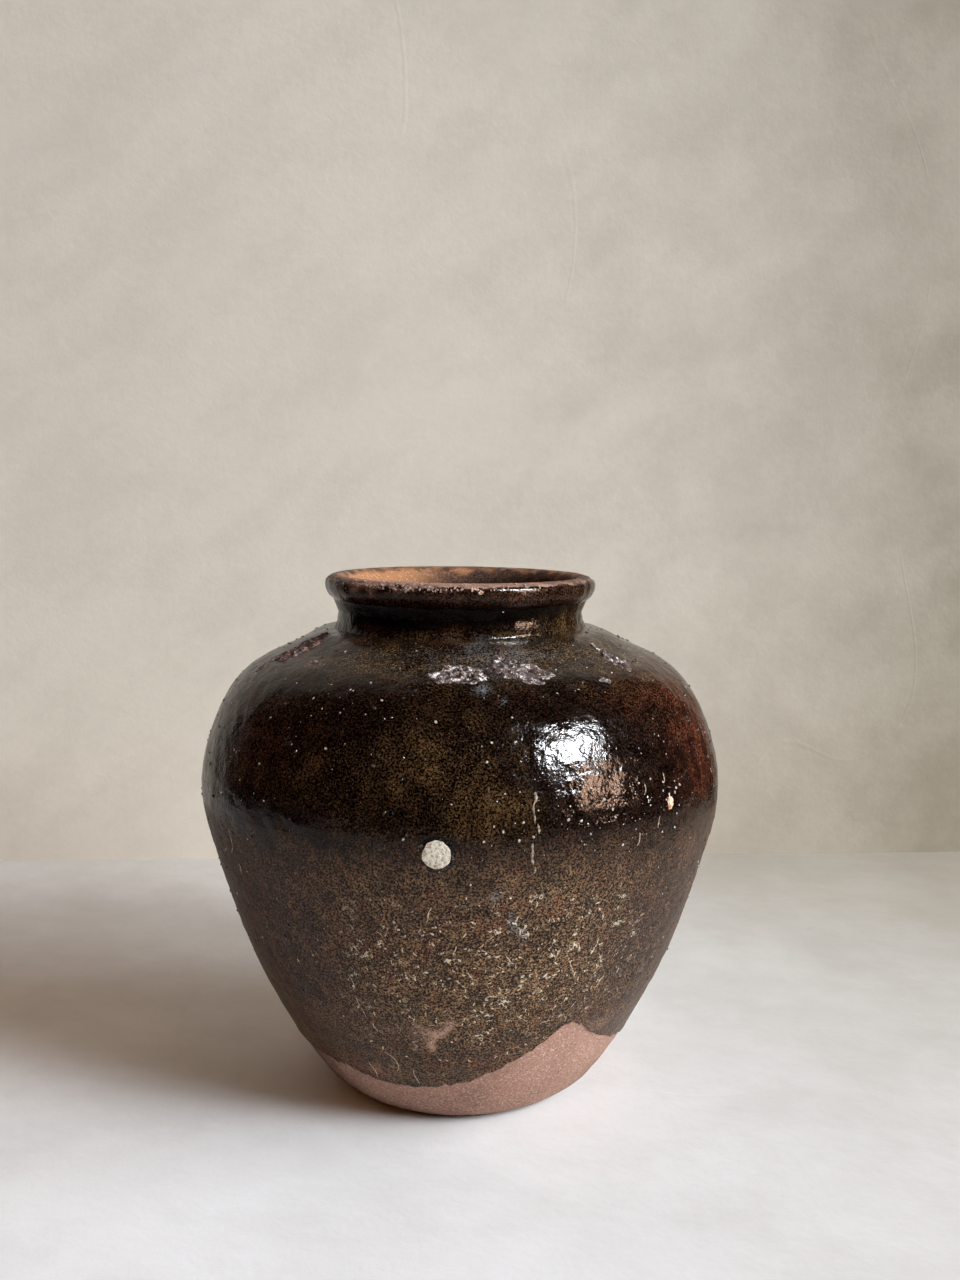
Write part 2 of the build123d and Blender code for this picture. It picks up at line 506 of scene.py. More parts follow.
OBJECT = Step("TexCoord", (), "Object")
MASK = Step("Attribute", (), "Fac")
NOISE = Step("TexNoise", ("Vector", "Scale", "Detail", "Roughness"), "Fac")
CELLS = Step("TexVoronoi", ("Vector", "Scale"), "Distance")
STRETCH = Step("Mapping", ("Vector", "Scale", "Rotation", "Location"))
LEVEL = Step("SeparateXYZ", ("Vector",), "Z")
CHANNELS = Step("SeparateColor", ("Color",))
AWAY = Step("VectorMath", (0, 1), "Value", (("operation", "DISTANCE"),))
TIMES = Step("Math", (0, 1), 0, (("operation", "MULTIPLY"),))
PLUS = Step("Math", (0, 1), 0, (("operation", "ADD"), ("use_clamp", True)))
LESS = Step("Math", (0, 1), 0, (("operation", "SUBTRACT"),))
SIZE = Step("Math", (0,), 0, (("operation", "ABSOLUTE"),))
UNDER = Step("Math", (0, 1), 0, (("operation", "LESS_THAN"),))
LARGER = Step("Math", (0, 1), 0, (("operation", "MAXIMUM"),))
SOFT = (("interpolation_type", "SMOOTHSTEP"),)
RAMP = Step("MapRange", ("Value", "From Min", "From Max", "To Min", "To Max"), "Result", SOFT)
BLEND = Step("Mix", (0, 6, 7), 2, (("data_type", "RGBA"),))
BUMP = Step("Bump", ("Strength", "Distance", "Height", "Normal"))
SHADER = Step("BsdfPrincipled", ("Base Color", "Roughness", "IOR", "Normal", "Specular IOR Level"))
EITHER = Step("MixShader", (0, 1, 2))
SURFACE = Step("OutputMaterial", ("Surface",))


def linear(colour: str) -> tuple[float, float, float, float]:
    """An sRGB hex colour, such as "#8a5a40", as linear red, green, blue and a full alpha."""
    parts = [int(colour[place : place + 2], 16) / 255 for place in (1, 3, 5)]
    return (*[part / 12.92 if part <= 0.04045 else ((part + 0.055) / 1.055) ** 2.4 for part in parts], 1.0)


def per(size: float) -> float:
    """The noise scale whose features are about a real size in millimetres across."""
    return 0.5 / (size * MM)


class NodeTree:
    """The nodes of a new material or world, added one by one."""

    def __init__(self, owner: Material | bpy.types.World) -> None:
        """Empties the owner's tree.

        Args:
            owner: the material or world.
        """
        owner.use_nodes = True
        self.owner, self.nodes, self.links = owner, owner.node_tree.nodes, owner.node_tree.links
        self.nodes.clear()

    def add(self, step: Step, *values: Any, **settings: Any) -> Any:
        """Adds a node with its settings, values and links.

        Args:
            step: the kind of node.
            values: for the step's inputs in order, a number, a hex colour, or another node's output to link.
            settings: more of the node's own properties.

        Returns:
            The step's output, if the node has any.
        """
        made = self.nodes.new("ShaderNode" + step.kind)
        for name, value in (*step.settings, *settings.items()):
            setattr(made, name, value)
        for name, value in zip(step.inputs, values):
            if isinstance(value, bpy.types.NodeSocket):
                self.links.new(value, made.inputs[name])
            else:
                made.inputs[name].default_value = linear(value) if isinstance(value, str) else value
        return made.outputs[step.output] if len(made.outputs) else None


# Finishes


@dataclass(frozen=True)
class IronGlaze:
    """Iron-brown ash glaze, dipped and wood fired: glassy and nearly black where it lies thick.

    The eye sees a deep wet gloss above that is pimpled like peel, a satin and scuffed skin below, a crisp
    grain of olive crystals and dark pores, ochre patches with cream edges low down, and pale specks, partly
    lime and partly painted glints.
    Sizes are millimetres. The crystals are about twice as coarse as real ones, to show from a step away.
    """

    thick: str = "#160b07"
    olive: str = "#412f1b"
    flash: str = "#4a2617"
    khaki: str = "#503b29"
    purple: str = "#35231c"
    crystal: str = "#98805f"
    rust: str = "#562f20"
    ochre: str = "#86694a"
    cream: str = "#e6d8be"
    fleck_and_glint: str = "#f4efe4"
    bloom_and_sheen: str = "#85888a"
    worn: str = "#c29c86"
    pinhole: str = "#050302"
    crystal_size: float = 0.5
    patch_size: float = 1.9
    mottle_size: float = 5.0
    peel_size: float = 2.8
    wave_size: float = 6.0
    pinhole_spacing: float = 4.0
    fleck_spacing: float = 3.4
    gloss: float = 0.09
    satin: float = 0.42
    sheen_level: float = 0.16
    # Dark rings where bubbles burst, and round the lime a painted shadow of the gap about it: degrees,
    # millimetres up, radius and width
    marks: tuple[Row, ...] = (
        (-22.4, 185, 1.7, 0.7), (-12.7, 191, 1.5, 0.6), (19.5, 208, 2.0, 0.8),
        (26.5, 138.5, 3.4, 0.7), (52.0, 196, 2.0, 0.7), (-38.0, 219, 1.6, 0.6),
        (-4.4, 172.6, 8.3, 1.5), (150.0, 190, 2.2, 0.8), (-130.0, 205, 2.0, 0.8),
    )  # fmt: skip

    def ground(self, add: Add, place: Any, mask: dict[str, Any], crystal: Any, mottle: Any) -> Any:
        """The glaze's own colour: black, olive streaks, red flash, khaki and purple, with grain and patches.

        Args:
            add: the material's way to add a node.
            place: object coordinates.
            mask: the masks that the piece carries, by name.
            crystal: the fine grain, from 0 to 1.
            mottle: the coarse grain, from 0 to 1.

        Returns:
            The colour, to link.
        """
        lower, pale = mask["lower"], mask["pale"]
        streak = add(NOISE, add(STRETCH, place, (1.0, 1.0, 0.12)), per(8), 4.0, 0.6)
        streaked = add(TIMES, mask["olive"], add(RAMP, streak, 0.38, 0.60, 0.2, 1.0))
        streaked = add(TIMES, streaked, add(RAMP, mottle, 0.3, 0.6, 0.85, 1.0))
        flash = add(TIMES, mask["flash"], add(RAMP, mottle, 0.3, 0.6, 0.45, 1.0))
        rusty = add(RAMP, add(NOISE, place, per(8), 3.0, 0.6), 0.50, 0.64, 0.0, 0.6)
        rusty = add(TIMES, add(TIMES, rusty, lower), add(RAMP, mask["purple"], 0.1, 0.7, 1.0, 0.0))
        patch = add(NOISE, place, per(self.patch_size), 5.0, 0.7)
        ochre = add(TIMES, add(RAMP, patch, 0.49, 0.64), add(TIMES, pale, 0.8))
        low_colour = add(BLEND, mask["purple"], self.khaki, self.purple)
        colour = self.thick
        layers = ((streaked, self.olive), (lower, low_colour), (flash, self.flash), (rusty, self.rust))
        for share, paint in (*layers, (add(TIMES, ochre, lower), self.ochre)):
            colour = add(BLEND, share, colour, paint)
        darkest = add(RAMP, lower, 0.0, 1.0, 0.12, 0.0)
        lightest = add(RAMP, lower, 0.0, 1.0, 2.1, 2.3)
        shade = add(RAMP, crystal, 0.42, 0.59, darkest, lightest)
        shade = add(TIMES, add(RAMP, mottle, 0.3, 0.68, 0.6, 1.25), shade)
        colour = add(BLEND, 1.0, colour, shade, blend_type="MULTIPLY")
        grains = add(TIMES, add(RAMP, crystal, 0.56, 0.66), add(RAMP, pale, 0.05, 1.0, 0.03, 1.0))
        sparks = add(TIMES, add(RAMP, crystal, 0.62, 0.68), add(TIMES, mask["olive"], 0.4))
        return add(BLEND, add(PLUS, grains, sparks), colour, self.crystal)

    def scribbles(self, add: Add, place: Any, mask: dict[str, Any]) -> Any:
        """Thin cream lines that curl where the low glaze crawled.

        Args:
            add: the material's way to add a node.
            place: object coordinates.
            mask: the masks that the piece carries, by name.

        Returns:
            A share, to link.
        """
        off = add(SIZE, add(LESS, add(NOISE, place, per(3.2), 3.0, 0.6), 0.5))
        there = add(RAMP, add(NOISE, place, per(3.6), 5.0, 0.8), 0.56, 0.59)
        line = add(TIMES, add(RAMP, off, 0.010, 0.034, 1.0, 0.0), there)
        return add(TIMES, line, add(TIMES, add(RAMP, mask["pale"], 0.25, 0.7), mask["lower"]))

    def rings(self, add: Add, place: Any, outline: Outline) -> Any:
        """Broken dark rings at the marks, by the distance from each one's middle.

        Args:
            add: the material's way to add a node.
            place: object coordinates.
            outline: the jar's outside, on which the marks lie.

        Returns:
            A share, to link.
        """
        every = 0.0
        for azimuth, height, radius, width in self.marks:
            out = np.interp(height * MM, outline.height, outline.radius)
            middle = turned(out, height * MM, math.radians(azimuth))
            off = add(SIZE, add(LESS, add(AWAY, place, tuple(middle)), radius * MM))
            every = add(PLUS, every, add(RAMP, off, 0.3 * width * MM, width * MM, 1.0, 0.0))
        return add(TIMES, every, add(RAMP, add(NOISE, place, per(1.6), 3.0, 0.6), 0.42, 0.52))

    def build(self, outline: Outline) -> Material:
        """Makes the glaze from the masks that its piece carries and from noise at real sizes.

        Args:
            outline: the jar's outside, on which the marks lie.

        Returns:
            The material.
        """
        tree = NodeTree(bpy.data.materials.new("iron_glaze"))
        add = tree.add
        place = add(OBJECT)
        mask = {name: add(MASK, attribute_name=name) for name in (*GLAZE_MASKS, "lower")}
        mottle = add(NOISE, place, per(self.mottle_size), 4.0, 0.6)
        crystal = add(NOISE, place, per(self.crystal_size), 2.0, 0.7)
        colour = self.ground(add, place, mask, crystal, mottle)
        colour = add(BLEND, self.scribbles(add, place, mask), colour, self.cream)

        pits = add(CELLS, place, 1 / (self.pinhole_spacing * MM))
        pick = add(CHANNELS, pits.node.outputs["Color"]).node.outputs
        near = add(LESS, add(RAMP, pick["Green"], 0.0, 1.0, 0.06, 0.17), pits)
        pit = add(TIMES, add(RAMP, near, 0.0, 0.05), add(RAMP, pick["Red"], 0.42, 0.44))
        pit = add(PLUS, pit, add(TIMES, self.rings(add, place, outline), 0.8))

        # Under the lip, from 266 to 282 mm up, the colour goes nearly black, partly glaze pooled thick and
        # partly painted shade under the lip, and the corner reflects less
        high = add(LEVEL, place)
        corner_end = add(RAMP, high, 0.2795, 0.2825, 1.0, 0.0)
        pooled_and_shade = add(TIMES, add(RAMP, high, 0.2660, 0.2750), corner_end)
        pooled_and_shade = add(TIMES, pooled_and_shade, add(RAMP, mask["olive"], 0.1, 0.6, 0.85, 0.1))
        # Milky blue-grey spots, and round the neck's foot in front a painted sheen
        milky_and_sheen = add(TIMES, mask["bloom_and_sheen"], add(RAMP, crystal, 0.40, 0.58))

        # White specks, partly flecks in the glaze and partly painted glints
        specks = add(CELLS, place, 1 / (self.fleck_spacing * MM))
        pick = add(CHANNELS, specks.node.outputs["Color"]).node.outputs
        reach = add(RAMP, pick["Green"], 0.3, 1.0, 0.035, 0.12)
        reach = add(TIMES, reach, add(RAMP, crystal, 0.35, 0.65, 0.4, 1.6))
        fleck_and_glint = add(TIMES, add(UNDER, specks, reach), add(UNDER, pick["Blue"], mask["flecks_and_glints"]))
        wear = add(TIMES, mask["worn"], add(RAMP, mottle, 0.38, 0.54))
        wear = add(TIMES, wear, add(RAMP, crystal, 0.38, 0.5, 0.3, 1.0))
        layers = ((pit, self.pinhole), (pooled_and_shade, self.pinhole), (milky_and_sheen, self.bloom_and_sheen), (fleck_and_glint, self.fleck_and_glint))
        for share, paint in (*layers, (wear, self.worn)):
            colour = add(BLEND, share, colour, paint)

        rough = add(RAMP, mask["lower"], 0.0, 1.0, self.gloss, self.satin)
        rough = add(PLUS, rough, add(RAMP, mottle, 0.3, 0.7, -0.03, 0.08))
        for share, more in ((wear, 0.4), (mask["dull"], 0.15), (fleck_and_glint, 0.3)):
            rough = add(PLUS, rough, add(TIMES, share, more))
        corner = add(TIMES, add(RAMP, high, 0.2735, 0.2760), corner_end)
        sheen = add(RAMP, corner, 0.0, 1.0, self.sheen_level, 0.3 * self.sheen_level)

        lines = add(NOISE, add(STRETCH, place, (0.1, 0.1, 1.0)), per(1.7), 3.0, 0.6)
        peel = add(NOISE, place, per(self.peel_size), 3.0, 0.6)
        bump = add(BUMP, 0.4, 1.2 * MM, add(NOISE, place, per(self.wave_size)))
        layers = ((lines, 0.4, 0.32), (peel, 0.7, 0.75), (crystal, 0.45, 0.15))
        for height, strength, depth in (*layers, (add(LESS, 1.0, pit), 0.9, 0.5), (fleck_and_glint, 0.7, 0.35)):
            bump = add(BUMP, strength, depth * MM, height, bump)
        add(SURFACE, add(SHADER, colour, rough, 1.5, bump, sheen))
        return tree.owner


@dataclass(frozen=True)
class BareStoneware:
    """Unglazed fired stoneware: matt and gritty, pinkish buff, with dark iron grains and pale sand.

    Inside it is scorched orange-brown, and on the lip a thin wash of glaze is worn down to the clay. Sizes
    are millimetres.
    """

    body: str = "#b58b78"
    deep: str = "#8a5c46"
    iron: str = "#6a4636"
    sand: str = "#ecd6c8"
    inner: str = "#b0774a"
    scorch_and_shade: str = "#22140c"
    wash: str = "#22140d"
    worn: str = "#a0765c"
    grain_size: float = 0.65
    cloud_size: float = 16.0
    patch_size: float = 3.0
    matt: float = 0.8
    washed: float = 0.45

    def build(self) -> Material:
        """Makes the clay from clouds, grains and the masks that its piece carries.

        Returns:
            The material.
        """
        tree = NodeTree(bpy.data.materials.new("bare_stoneware"))
        add = tree.add
        place = add(OBJECT)
        soot_and_shade, within, wash = [add(MASK, attribute_name=name) for name in ("soot_and_shade", "within", "wash")]
        cloud = add(NOISE, place, per(self.cloud_size), 4.0, 0.6)
        grit = add(NOISE, place, per(self.grain_size), 3.0, 0.65)
        patch = add(RAMP, add(NOISE, place, per(self.patch_size), 5.0, 0.7), 0.46, 0.60)
        plain = add(RAMP, within, 0.0, 1.0, 0.5, 0.3)
        layers = (
            (within, self.inner),
            (add(RAMP, cloud, 0.38, 0.68, 0.0, 0.10), self.deep),
            (add(TIMES, add(RAMP, grit, 0.52, 0.66), plain), self.sand),
            (add(TIMES, add(RAMP, grit, 0.47, 0.30), plain), self.iron),
            # The dark mask: soot, and painted shade on the foot and down the throat
            (add(TIMES, soot_and_shade, add(RAMP, grit, 0.3, 0.6, 1.0, 0.8)), self.scorch_and_shade),
            (wash, add(BLEND, patch, self.wash, self.worn)),
        )
        colour = self.body
        for share, paint in layers:
            colour = add(BLEND, share, colour, paint)
        bump = add(BUMP, 0.8, 0.6 * MM, grit)
        bump = add(BUMP, 0.5, 0.25 * MM, add(NOISE, place, per(0.5 * self.grain_size)), bump)
        rough = add(RAMP, wash, 0.0, 1.0, self.matt, self.washed)
        add(SURFACE, add(SHADER, colour, rough, 1.45, bump, 0.2))
        return tree.owner


@dataclass(frozen=True)
class KilnCrust:
    """Clay and ash fused to the glaze where pads stood on it: broken, glassy in places, full of glints,
    partly painted as pale lumps.
    """

    name: str
    ground: str
    pale: str
    dark: str
    lump_size: float = 0.9  # millimetres
    gloss: float = 0.14
    dull: float = 0.6

    def build(self) -> Material:
        """Makes the crust from lumps of three colours, each with its own gloss.

        Returns:
            The material.
        """
        tree = NodeTree(bpy.data.materials.new(self.name))
        add = tree.add
        place = add(OBJECT)
        lump = add(NOISE, place, per(self.lump_size), 5.0, 0.75)
        wide = add(NOISE, place, per(2.4 * self.lump_size), 3.0, 0.6)
        colour = add(BLEND, add(RAMP, lump, 0.42, 0.50), self.dark, self.ground)
        # Pale lumps: on the scars' crusts partly painted glints
        pale = add(TIMES, add(RAMP, lump, 0.54, 0.59), add(RAMP, wide, 0.42, 0.52))
        colour = add(BLEND, pale, colour, self.pale)
        rough = add(RAMP, wide, 0.42, 0.6, self.gloss, self.dull)
        add(SURFACE, add(SHADER, colour, rough, 1.5, add(BUMP, 1.0, 1.2 * MM, lump)))
        return tree.owner


@dataclass(frozen=True)
class GlazedGrit:
    """Dark glaze over fused grit: the coat's thick colour, glossy."""

    thick: str = "#1a0f09"
    thin: str = "#4a3826"

    def build(self) -> Material:
        """Makes the glaze from spots 3 mm across.

        Returns:
            The material.
        """
        tree = NodeTree(bpy.data.materials.new("glazed_grit"))
        spot = tree.add(RAMP, tree.add(NOISE, tree.add(OBJECT), per(3), 3.0), 0.35, 0.65)
        tree.add(SURFACE, tree.add(SHADER, tree.add(BLEND, spot, self.thick, self.thin), 0.18, 1.5))
        return tree.owner


@dataclass(frozen=True)
class Limewash:
    """Matt limewash on the floor and the wall behind, with painted light: pale round one place, and deeper
    towards its edges and a little towards the top, as painted shade.

    Broad strokes 30 mm wide run slantwise over it, with fine ridges where a trowel lifted.
    """

    name: str
    pale: str
    deep: str
    centre: tuple[float, float, float]
    reach: float
    painted_light_share: float
    one_sided: bool = False

    def build(self) -> Material:
        """Makes the limewash, see-through from behind if it is one-sided.

        Returns:
            The material.
        """
        tree = NodeTree(bpy.data.materials.new(self.name))
        add = tree.add
        place = add(OBJECT)
        # Painted light round the centre, and painted shade towards the edges and the top
        shift = tuple(-part / self.reach for part in self.centre)
        near = add(STRETCH, place, (1 / self.reach,) * 3, (0.0, 0.0, 0.0), shift)
        near = add(Step("TexGradient", ("Vector",), "Fac"), near, gradient_type="SPHERICAL")
        cloud = add(NOISE, place, per(50), 6.0, 0.65)
        near = add(PLUS, near, add(RAMP, cloud, 0.3, 0.7, -0.03, 0.03))
        high = add(RAMP, add(LEVEL, place), 0.35, 0.9, 1.0, 0.93)
        share = add(TIMES, add(RAMP, near, 0.0, self.painted_light_share), high)
        slant = add(STRETCH, place, (1.0, 1.0, 2.4), (0.3, 1.0, 0.0), vector_type="TEXTURE")
        sweep = add(NOISE, slant, per(30), 6.0, 0.68)
        share = add(TIMES, share, add(RAMP, sweep, 0.34, 0.62, 0.9, 1.0))
        stroke = add(SIZE, add(LESS, add(NOISE, place, per(170), 1.0), 0.5))
        there = add(RAMP, add(NOISE, place, per(60), 3.0), 0.5, 0.58)
        stroke = add(TIMES, add(RAMP, stroke, 0.0, 0.004, 1.0, 0.0), there)
        bump = add(BUMP, 0.32, 2.0 * MM, add(NOISE, place, per(16), 6.0, 0.65))
        bump = add(BUMP, 0.12, 0.6 * MM, stroke, bump)
        shader = add(SHADER, add(BLEND, share, self.deep, self.pale), 0.85, 1.5, bump, 0.1)
        if self.one_sided:
            behind = add(Step("NewGeometry", (), "Backfacing"))
            shader = add(EITHER, behind, shader, add(Step("BsdfTransparent")))
        add(SURFACE, shader)
        return tree.owner


# Patches of the masks


@dataclass(frozen=True)
class Patch:
    """A soft oval patch: degrees from the front towards +X, millimetres up, its reaches and its strength."""

    azimuth: float
    height: float
    wide: float
    tall: float
    strength: float

    def at(self, azimuth: Array, height: Array) -> Array:
        """The patch's share at each place, a bell of the distance from its middle.

        Args:
            azimuth: radians from the front.
            height: metres.

        Returns:
            Shares, up to the patch's strength.
        """
        turn = wrapped(azimuth - math.radians(self.azimuth)) / math.radians(self.wide)
        rise = (height - self.height * MM) / (self.tall * MM)
        return self.strength * np.exp(-(turn**2) - rise**2)


ROUND = 2000.0  # degrees, so wide that a patch runs all round

# fmt: off
PATCH_ROWS = {
    "olive": (
        # The patch at 50 degrees to the left, low on the shoulder, is a painted sheen
        (-4, 214, 12, 20, 0.9), (-25, 206, 9, 13, 0.65), (8, 200, 5, 15, 0.5), (-50, 202, 14, 14, 0.7),
        (-62, 232, 22, 14, 0.85), (66, 240, 20, 12, 0.6), (60, 270, 20, 9, 0.9), (0, 255, ROUND, 8, 1.0),
        (0, 287, ROUND, 6, 0.1), (2, 187, 9, 13, 0.55), (-22, 184, 6, 9, 0.35), (28, 266, 26, 6, 0.4),
        (110, 205, 22, 22, 0.8), (165, 215, 16, 18, 0.7), (-100, 200, 20, 22, 0.7), (-150, 210, 14, 24, 0.8),
    ),
    "flash": (
        (67, 216, 13, 27, 0.95), (55, 238, 15, 8, 0.45), (64, 190, 11, 12, 0.45), (-62, 214, 12, 26, 0.22),
        (-44, 216, 14, 20, 0.18), (0, 287, ROUND, 5, 0.2), (-2, 268, 5, 5, 0.7), (-44, 267, 9, 5, 0.6),
        (140, 225, 24, 18, 0.5), (-125, 232, 20, 12, 0.45),
    ),
    "purple": (
        (-62, 110, 28, 80, 0.85), (50, 120, 23, 60, 0.95), (-40, 110, 16, 70, 0.45), (160, 110, 40, 60, 0.6),
        (-140, 120, 25, 50, 0.5),
    ),
    "pale": (
        (6, 96, 20, 32, 0.95), (22, 135, 14, 28, 0.4), (-14, 120, 16, 50, 0.35), (-2, 212, 14, 20, 0.16),
        (0, 257, ROUND, 7, 0.42), (0, 288, ROUND, 5, 0.06), (40, 100, 14, 40, 0.2), (120, 100, 40, 40, 0.5),
        (-130, 100, 40, 40, 0.5),
    ),
    # White specks in the glaze: partly real flecks, partly painted glints
    "flecks_and_glints": (
        (28, 189, 16, 11, 0.8), (44, 200, 12, 22, 0.24), (-12, 240, 22, 8, 0.12), (-34, 230, 9, 9, 0.16),
        (14, 120, 20, 40, 0.08), (-58, 170, 8, 50, 0.08), (130, 190, 30, 20, 0.2), (-110, 210, 30, 20, 0.15),
    ),
    "worn": (
        (-6.0, 70, 2.6, 5, 1.2), (-4.6, 63, 2.2, 3.5, 1.1), (40, 62, 5, 5, 0.2), (-22, 40, 5, 7, 0.35),
        (-27, 292, 20, 1.5, 0.9), (175, 292, 40, 1.5, 0.6),
    ),
    # Milky blue-grey spots; the wide patch at 12 degrees round the neck's foot is a painted sheen
    "bloom_and_sheen": (
        (7.6, 244.5, 1.2, 2.0, 1.0), (8.1, 152, 1.3, 2.6, 0.9), (11.3, 134, 1.4, 5.0, 0.8),
        (12, 258, 20, 4.0, 0.35), (-60, 178, 3, 8, 0.5),
    ),
    "dull": ((-75, 220, 30, 60, 1.0), (78, 220, 14, 50, 0.6), (180, 200, 70, 60, 0.4)),
    # Soot at the back; on the left, the front and the right of the foot these patches are painted shade
    "scorched_and_shade": (
        (-66, 28, 26, 30, 0.75), (60, 22, 20, 24, 0.22), (-14, 3, 26, 6, 0.3), (-12, 16, 28, 22, 0.2),
        (150, 20, 30, 25, 0.35),
    ),
    "bare_lip": ((-32, 294, 34, 8, 1.0), (18, 294, 30, 8, 0.45), (200, 294, 40, 8, 0.3)),
    "lip_wear": ((-26, 292.4, 24, 1.6, 1.0), (12, 293, 24, 1.2, 0.25)),
}
# fmt: on
PATCHES = {name: tuple(Patch(*row) for row in rows) for name, rows in PATCH_ROWS.items()}


def covered(name: str, points: Array, seed: int) -> Array:
    """The sum of a mask's patches at each place, with wandering edges.

    Args:
        name: the mask's.
        points: places in space.
        seed: picks the noise.

    Returns:
        Shares from 0 to 1.
    """
    turn = azimuth_of(points) + 0.05 * wave_noise(points, 17 * MM, seed)
    rise = points[..., 2] + 3.0 * MM * wave_noise(points, 14 * MM, seed + 50)
    share = sum(patch.at(turn, rise) for patch in PATCHES[name])
    return np.clip(share * (1.0 + 0.1 * wave_noise(points, 8 * MM, seed + 90)), 0.0, 1.0)


# Sub-assemblies


@dataclass(frozen=True)
class ClayBody:
    """The thrown clay: a base disc and five rings luted on top of each other."""

    skin: Skin
    inner: Skin
    finish: Material
    columns: int = 400
    bare_spacing: float = 1.3 * MM
    covered_spacing: float = 5.0 * MM
    inner_spacing: float = 4.0 * MM
    bare_height: float = 72.0 * MM
    neck_height: float = 270.0 * MM
    foot_rounding: float = 1.1 * MM
    floor_ring_depth: float = 0.3 * MM
    floor_ring_width: float = 1.6 * MM

    def masks(self, points: Array, inside: Array) -> dict[str, Array]:
        """The clay's masks.

        The dark mask is darker towards the ground and lies in clouds and patches: at the back of the foot
        soot, on its left, front and right painted shade. Down the throat it is painted shade that deepens
        inwards, partly soot and glaze stains, and it comes up to the lip at the back on the right. A thin
        wash of glaze lies over the lip and a little way down into the mouth.

        Args:
            points: places in space.
            inside: 1 for each place that is inside the jar.

        Returns:
            Shares by name.
        """
        height = points[..., 2]
        ground = 0.38 * (1 - smooth_step(0.0, 4 * MM, height))
        ground = ground + 0.17 * (1 - smooth_step(4 * MM, 40 * MM, height))
        cloud = np.clip(0.08 * wave_noise(points, 30 * MM, 21), 0, 0.3)
        soot_and_shade = np.clip(ground + cloud + covered("scorched_and_shade", points, 22), 0, 1)
        # Inside, darker deeper down the throat and on its right inner wall: partly soot and glaze stains,
        # partly painted shade
        right = between(np.radians((55, 90, 175, 218)), azimuth_of(points) % TURN)
        rise = height + 2 * MM * wave_noise(points, 14 * MM, 24)
        deep = 0.95 * (1 - smooth_step(0.270, 0.289, rise))
        mottled = 0.95 + 0.12 * wave_noise(points, 9 * MM, 25)
        deep = np.clip(deep + right * mottled * (1 - smooth_step(0.2905, 0.2955, rise)), 0, 1)
        wash_end = height + 0.8 * MM * wave_noise(points, 12 * MM, 23) - np.where(inside > 0, 0.2925, 0.286)
        wash = 0.92 * (1 - covered("bare_lip", points, 26)) * smooth_step(-0.0012, 0.0012, wash_end)
        return {"soot_and_shade": np.clip(soot_and_shade + inside * deep, 0, 1), "within": inside, "wash": wash}

    def finished(self, piece: Piece, points: Array, inner_rows: int, node: str) -> Piece:
        """Stores the masks of a clay piece and dresses it.

        Args:
            piece: the new mesh object.
            points: its grid of points.
            inner_rows: how many rows, the last ones, are inside the jar.
            node: the node that it stands for.

        Returns:
            The piece.
        """
        spare = np.zeros(len(piece.data.vertices) - points.shape[0] * points.shape[1])
        inside = np.zeros(points.shape[:2])
        inside[len(points) - inner_rows :] = 1.0
        masks = {name: np.append(mask.ravel(), spare) for name, mask in self.masks(points, inside).items()}
        piece.data.set_sharp_from_angle(angle=math.radians(50))
        return dress(piece, self.finish, Slot.CLAY, node, **masks)

    def base(self) -> Piece:
        """The base disc: flat below, a rounded edge, the wall's foot, and the floor inside.

        Returns:
            The piece.
        """
        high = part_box("base_disc")[1].z
        foot, floor = self.skin.outline.radius[0], self.inner.outline.radius[0]
        flat = foot - self.foot_rounding
        azimuth = around(self.columns)[None, :]
        radii = np.append(0.0, np.linspace(0.12, 1.0, 14) * flat)[:, None]
        under = turned(radii, 0.0 * radii, azimuth)
        pitted = 0.12 * MM * (1 + np.clip(wave_noise(under, 6 * MM, 31), -1, 1))
        under[..., 2] = pitted * (1 - smooth_step(foot - 6 * MM, foot - 1.5 * MM, radii))
        turn = np.linspace(0.25, 1.0, 4)[:, None] * math.pi / 2
        rounding = self.foot_rounding
        edge = turned(flat + rounding * np.sin(turn), rounding * (1 - np.cos(turn)), azimuth)
        start = self.skin.outline.place_of(self.foot_rounding) + self.bare_spacing / 2
        end = self.skin.outline.place_of(high)
        wall = self.skin.points(azimuth, np.append(np.arange(start, end, self.bare_spacing), end)[:, None])
        radii = np.append(np.linspace(1.0, 0.12, 12) * floor, 0.0)[:, None]
        rings = np.sin(radii / self.floor_ring_width + azimuth) * smooth_step(0.0, 0.02, floor - radii)
        inside = turned(radii, high - self.floor_ring_depth * np.abs(rings), azimuth)
        points = np.concatenate([under, edge, wall, inside])
        piece = disc_shells("base_disc_clay", points[None])
        return self.finished(piece, points[1:-1], len(inside) - 1, "base_disc")

    def ring(self, node: str) -> Piece:
        """One thrown ring between its two seams, up the outside and down the inside.

        Args:
            node: the ring's node.

        Returns:
            The piece.
        """
        low, high = (corner.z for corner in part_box(node))
        azimuth = around(self.columns)[None, :]
        start, end, bare_end = self.skin.outline.place_of((low, high, self.bare_height))
        bare_end = np.clip(bare_end, start, end)
        spacing = self.covered_spacing if high < self.neck_height else self.bare_spacing
        rest = np.linspace(bare_end, end, max(4, int((end - bare_end) / spacing) + 1))
        along = np.append(np.arange(start, bare_end, self.bare_spacing), rest)
        start, end = self.inner.outline.place_of((low, high))
        spacing = self.inner_spacing if high < self.neck_height else self.bare_spacing
        inward = np.linspace(end, start, max(5, int((end - start) / spacing) + 1))
        sides = [self.skin.points(azimuth, along[:, None]), self.inner.points(azimuth, inward[:, None])]
        points = np.concatenate(sides)
        return self.finished(ring_piece(node + "_clay", points), points, len(inward), node)

    def build(self) -> None:
        """Makes the base and the five rings."""
        self.base()
        for node in CLAY_NODES[1:]:
            self.ring(node)


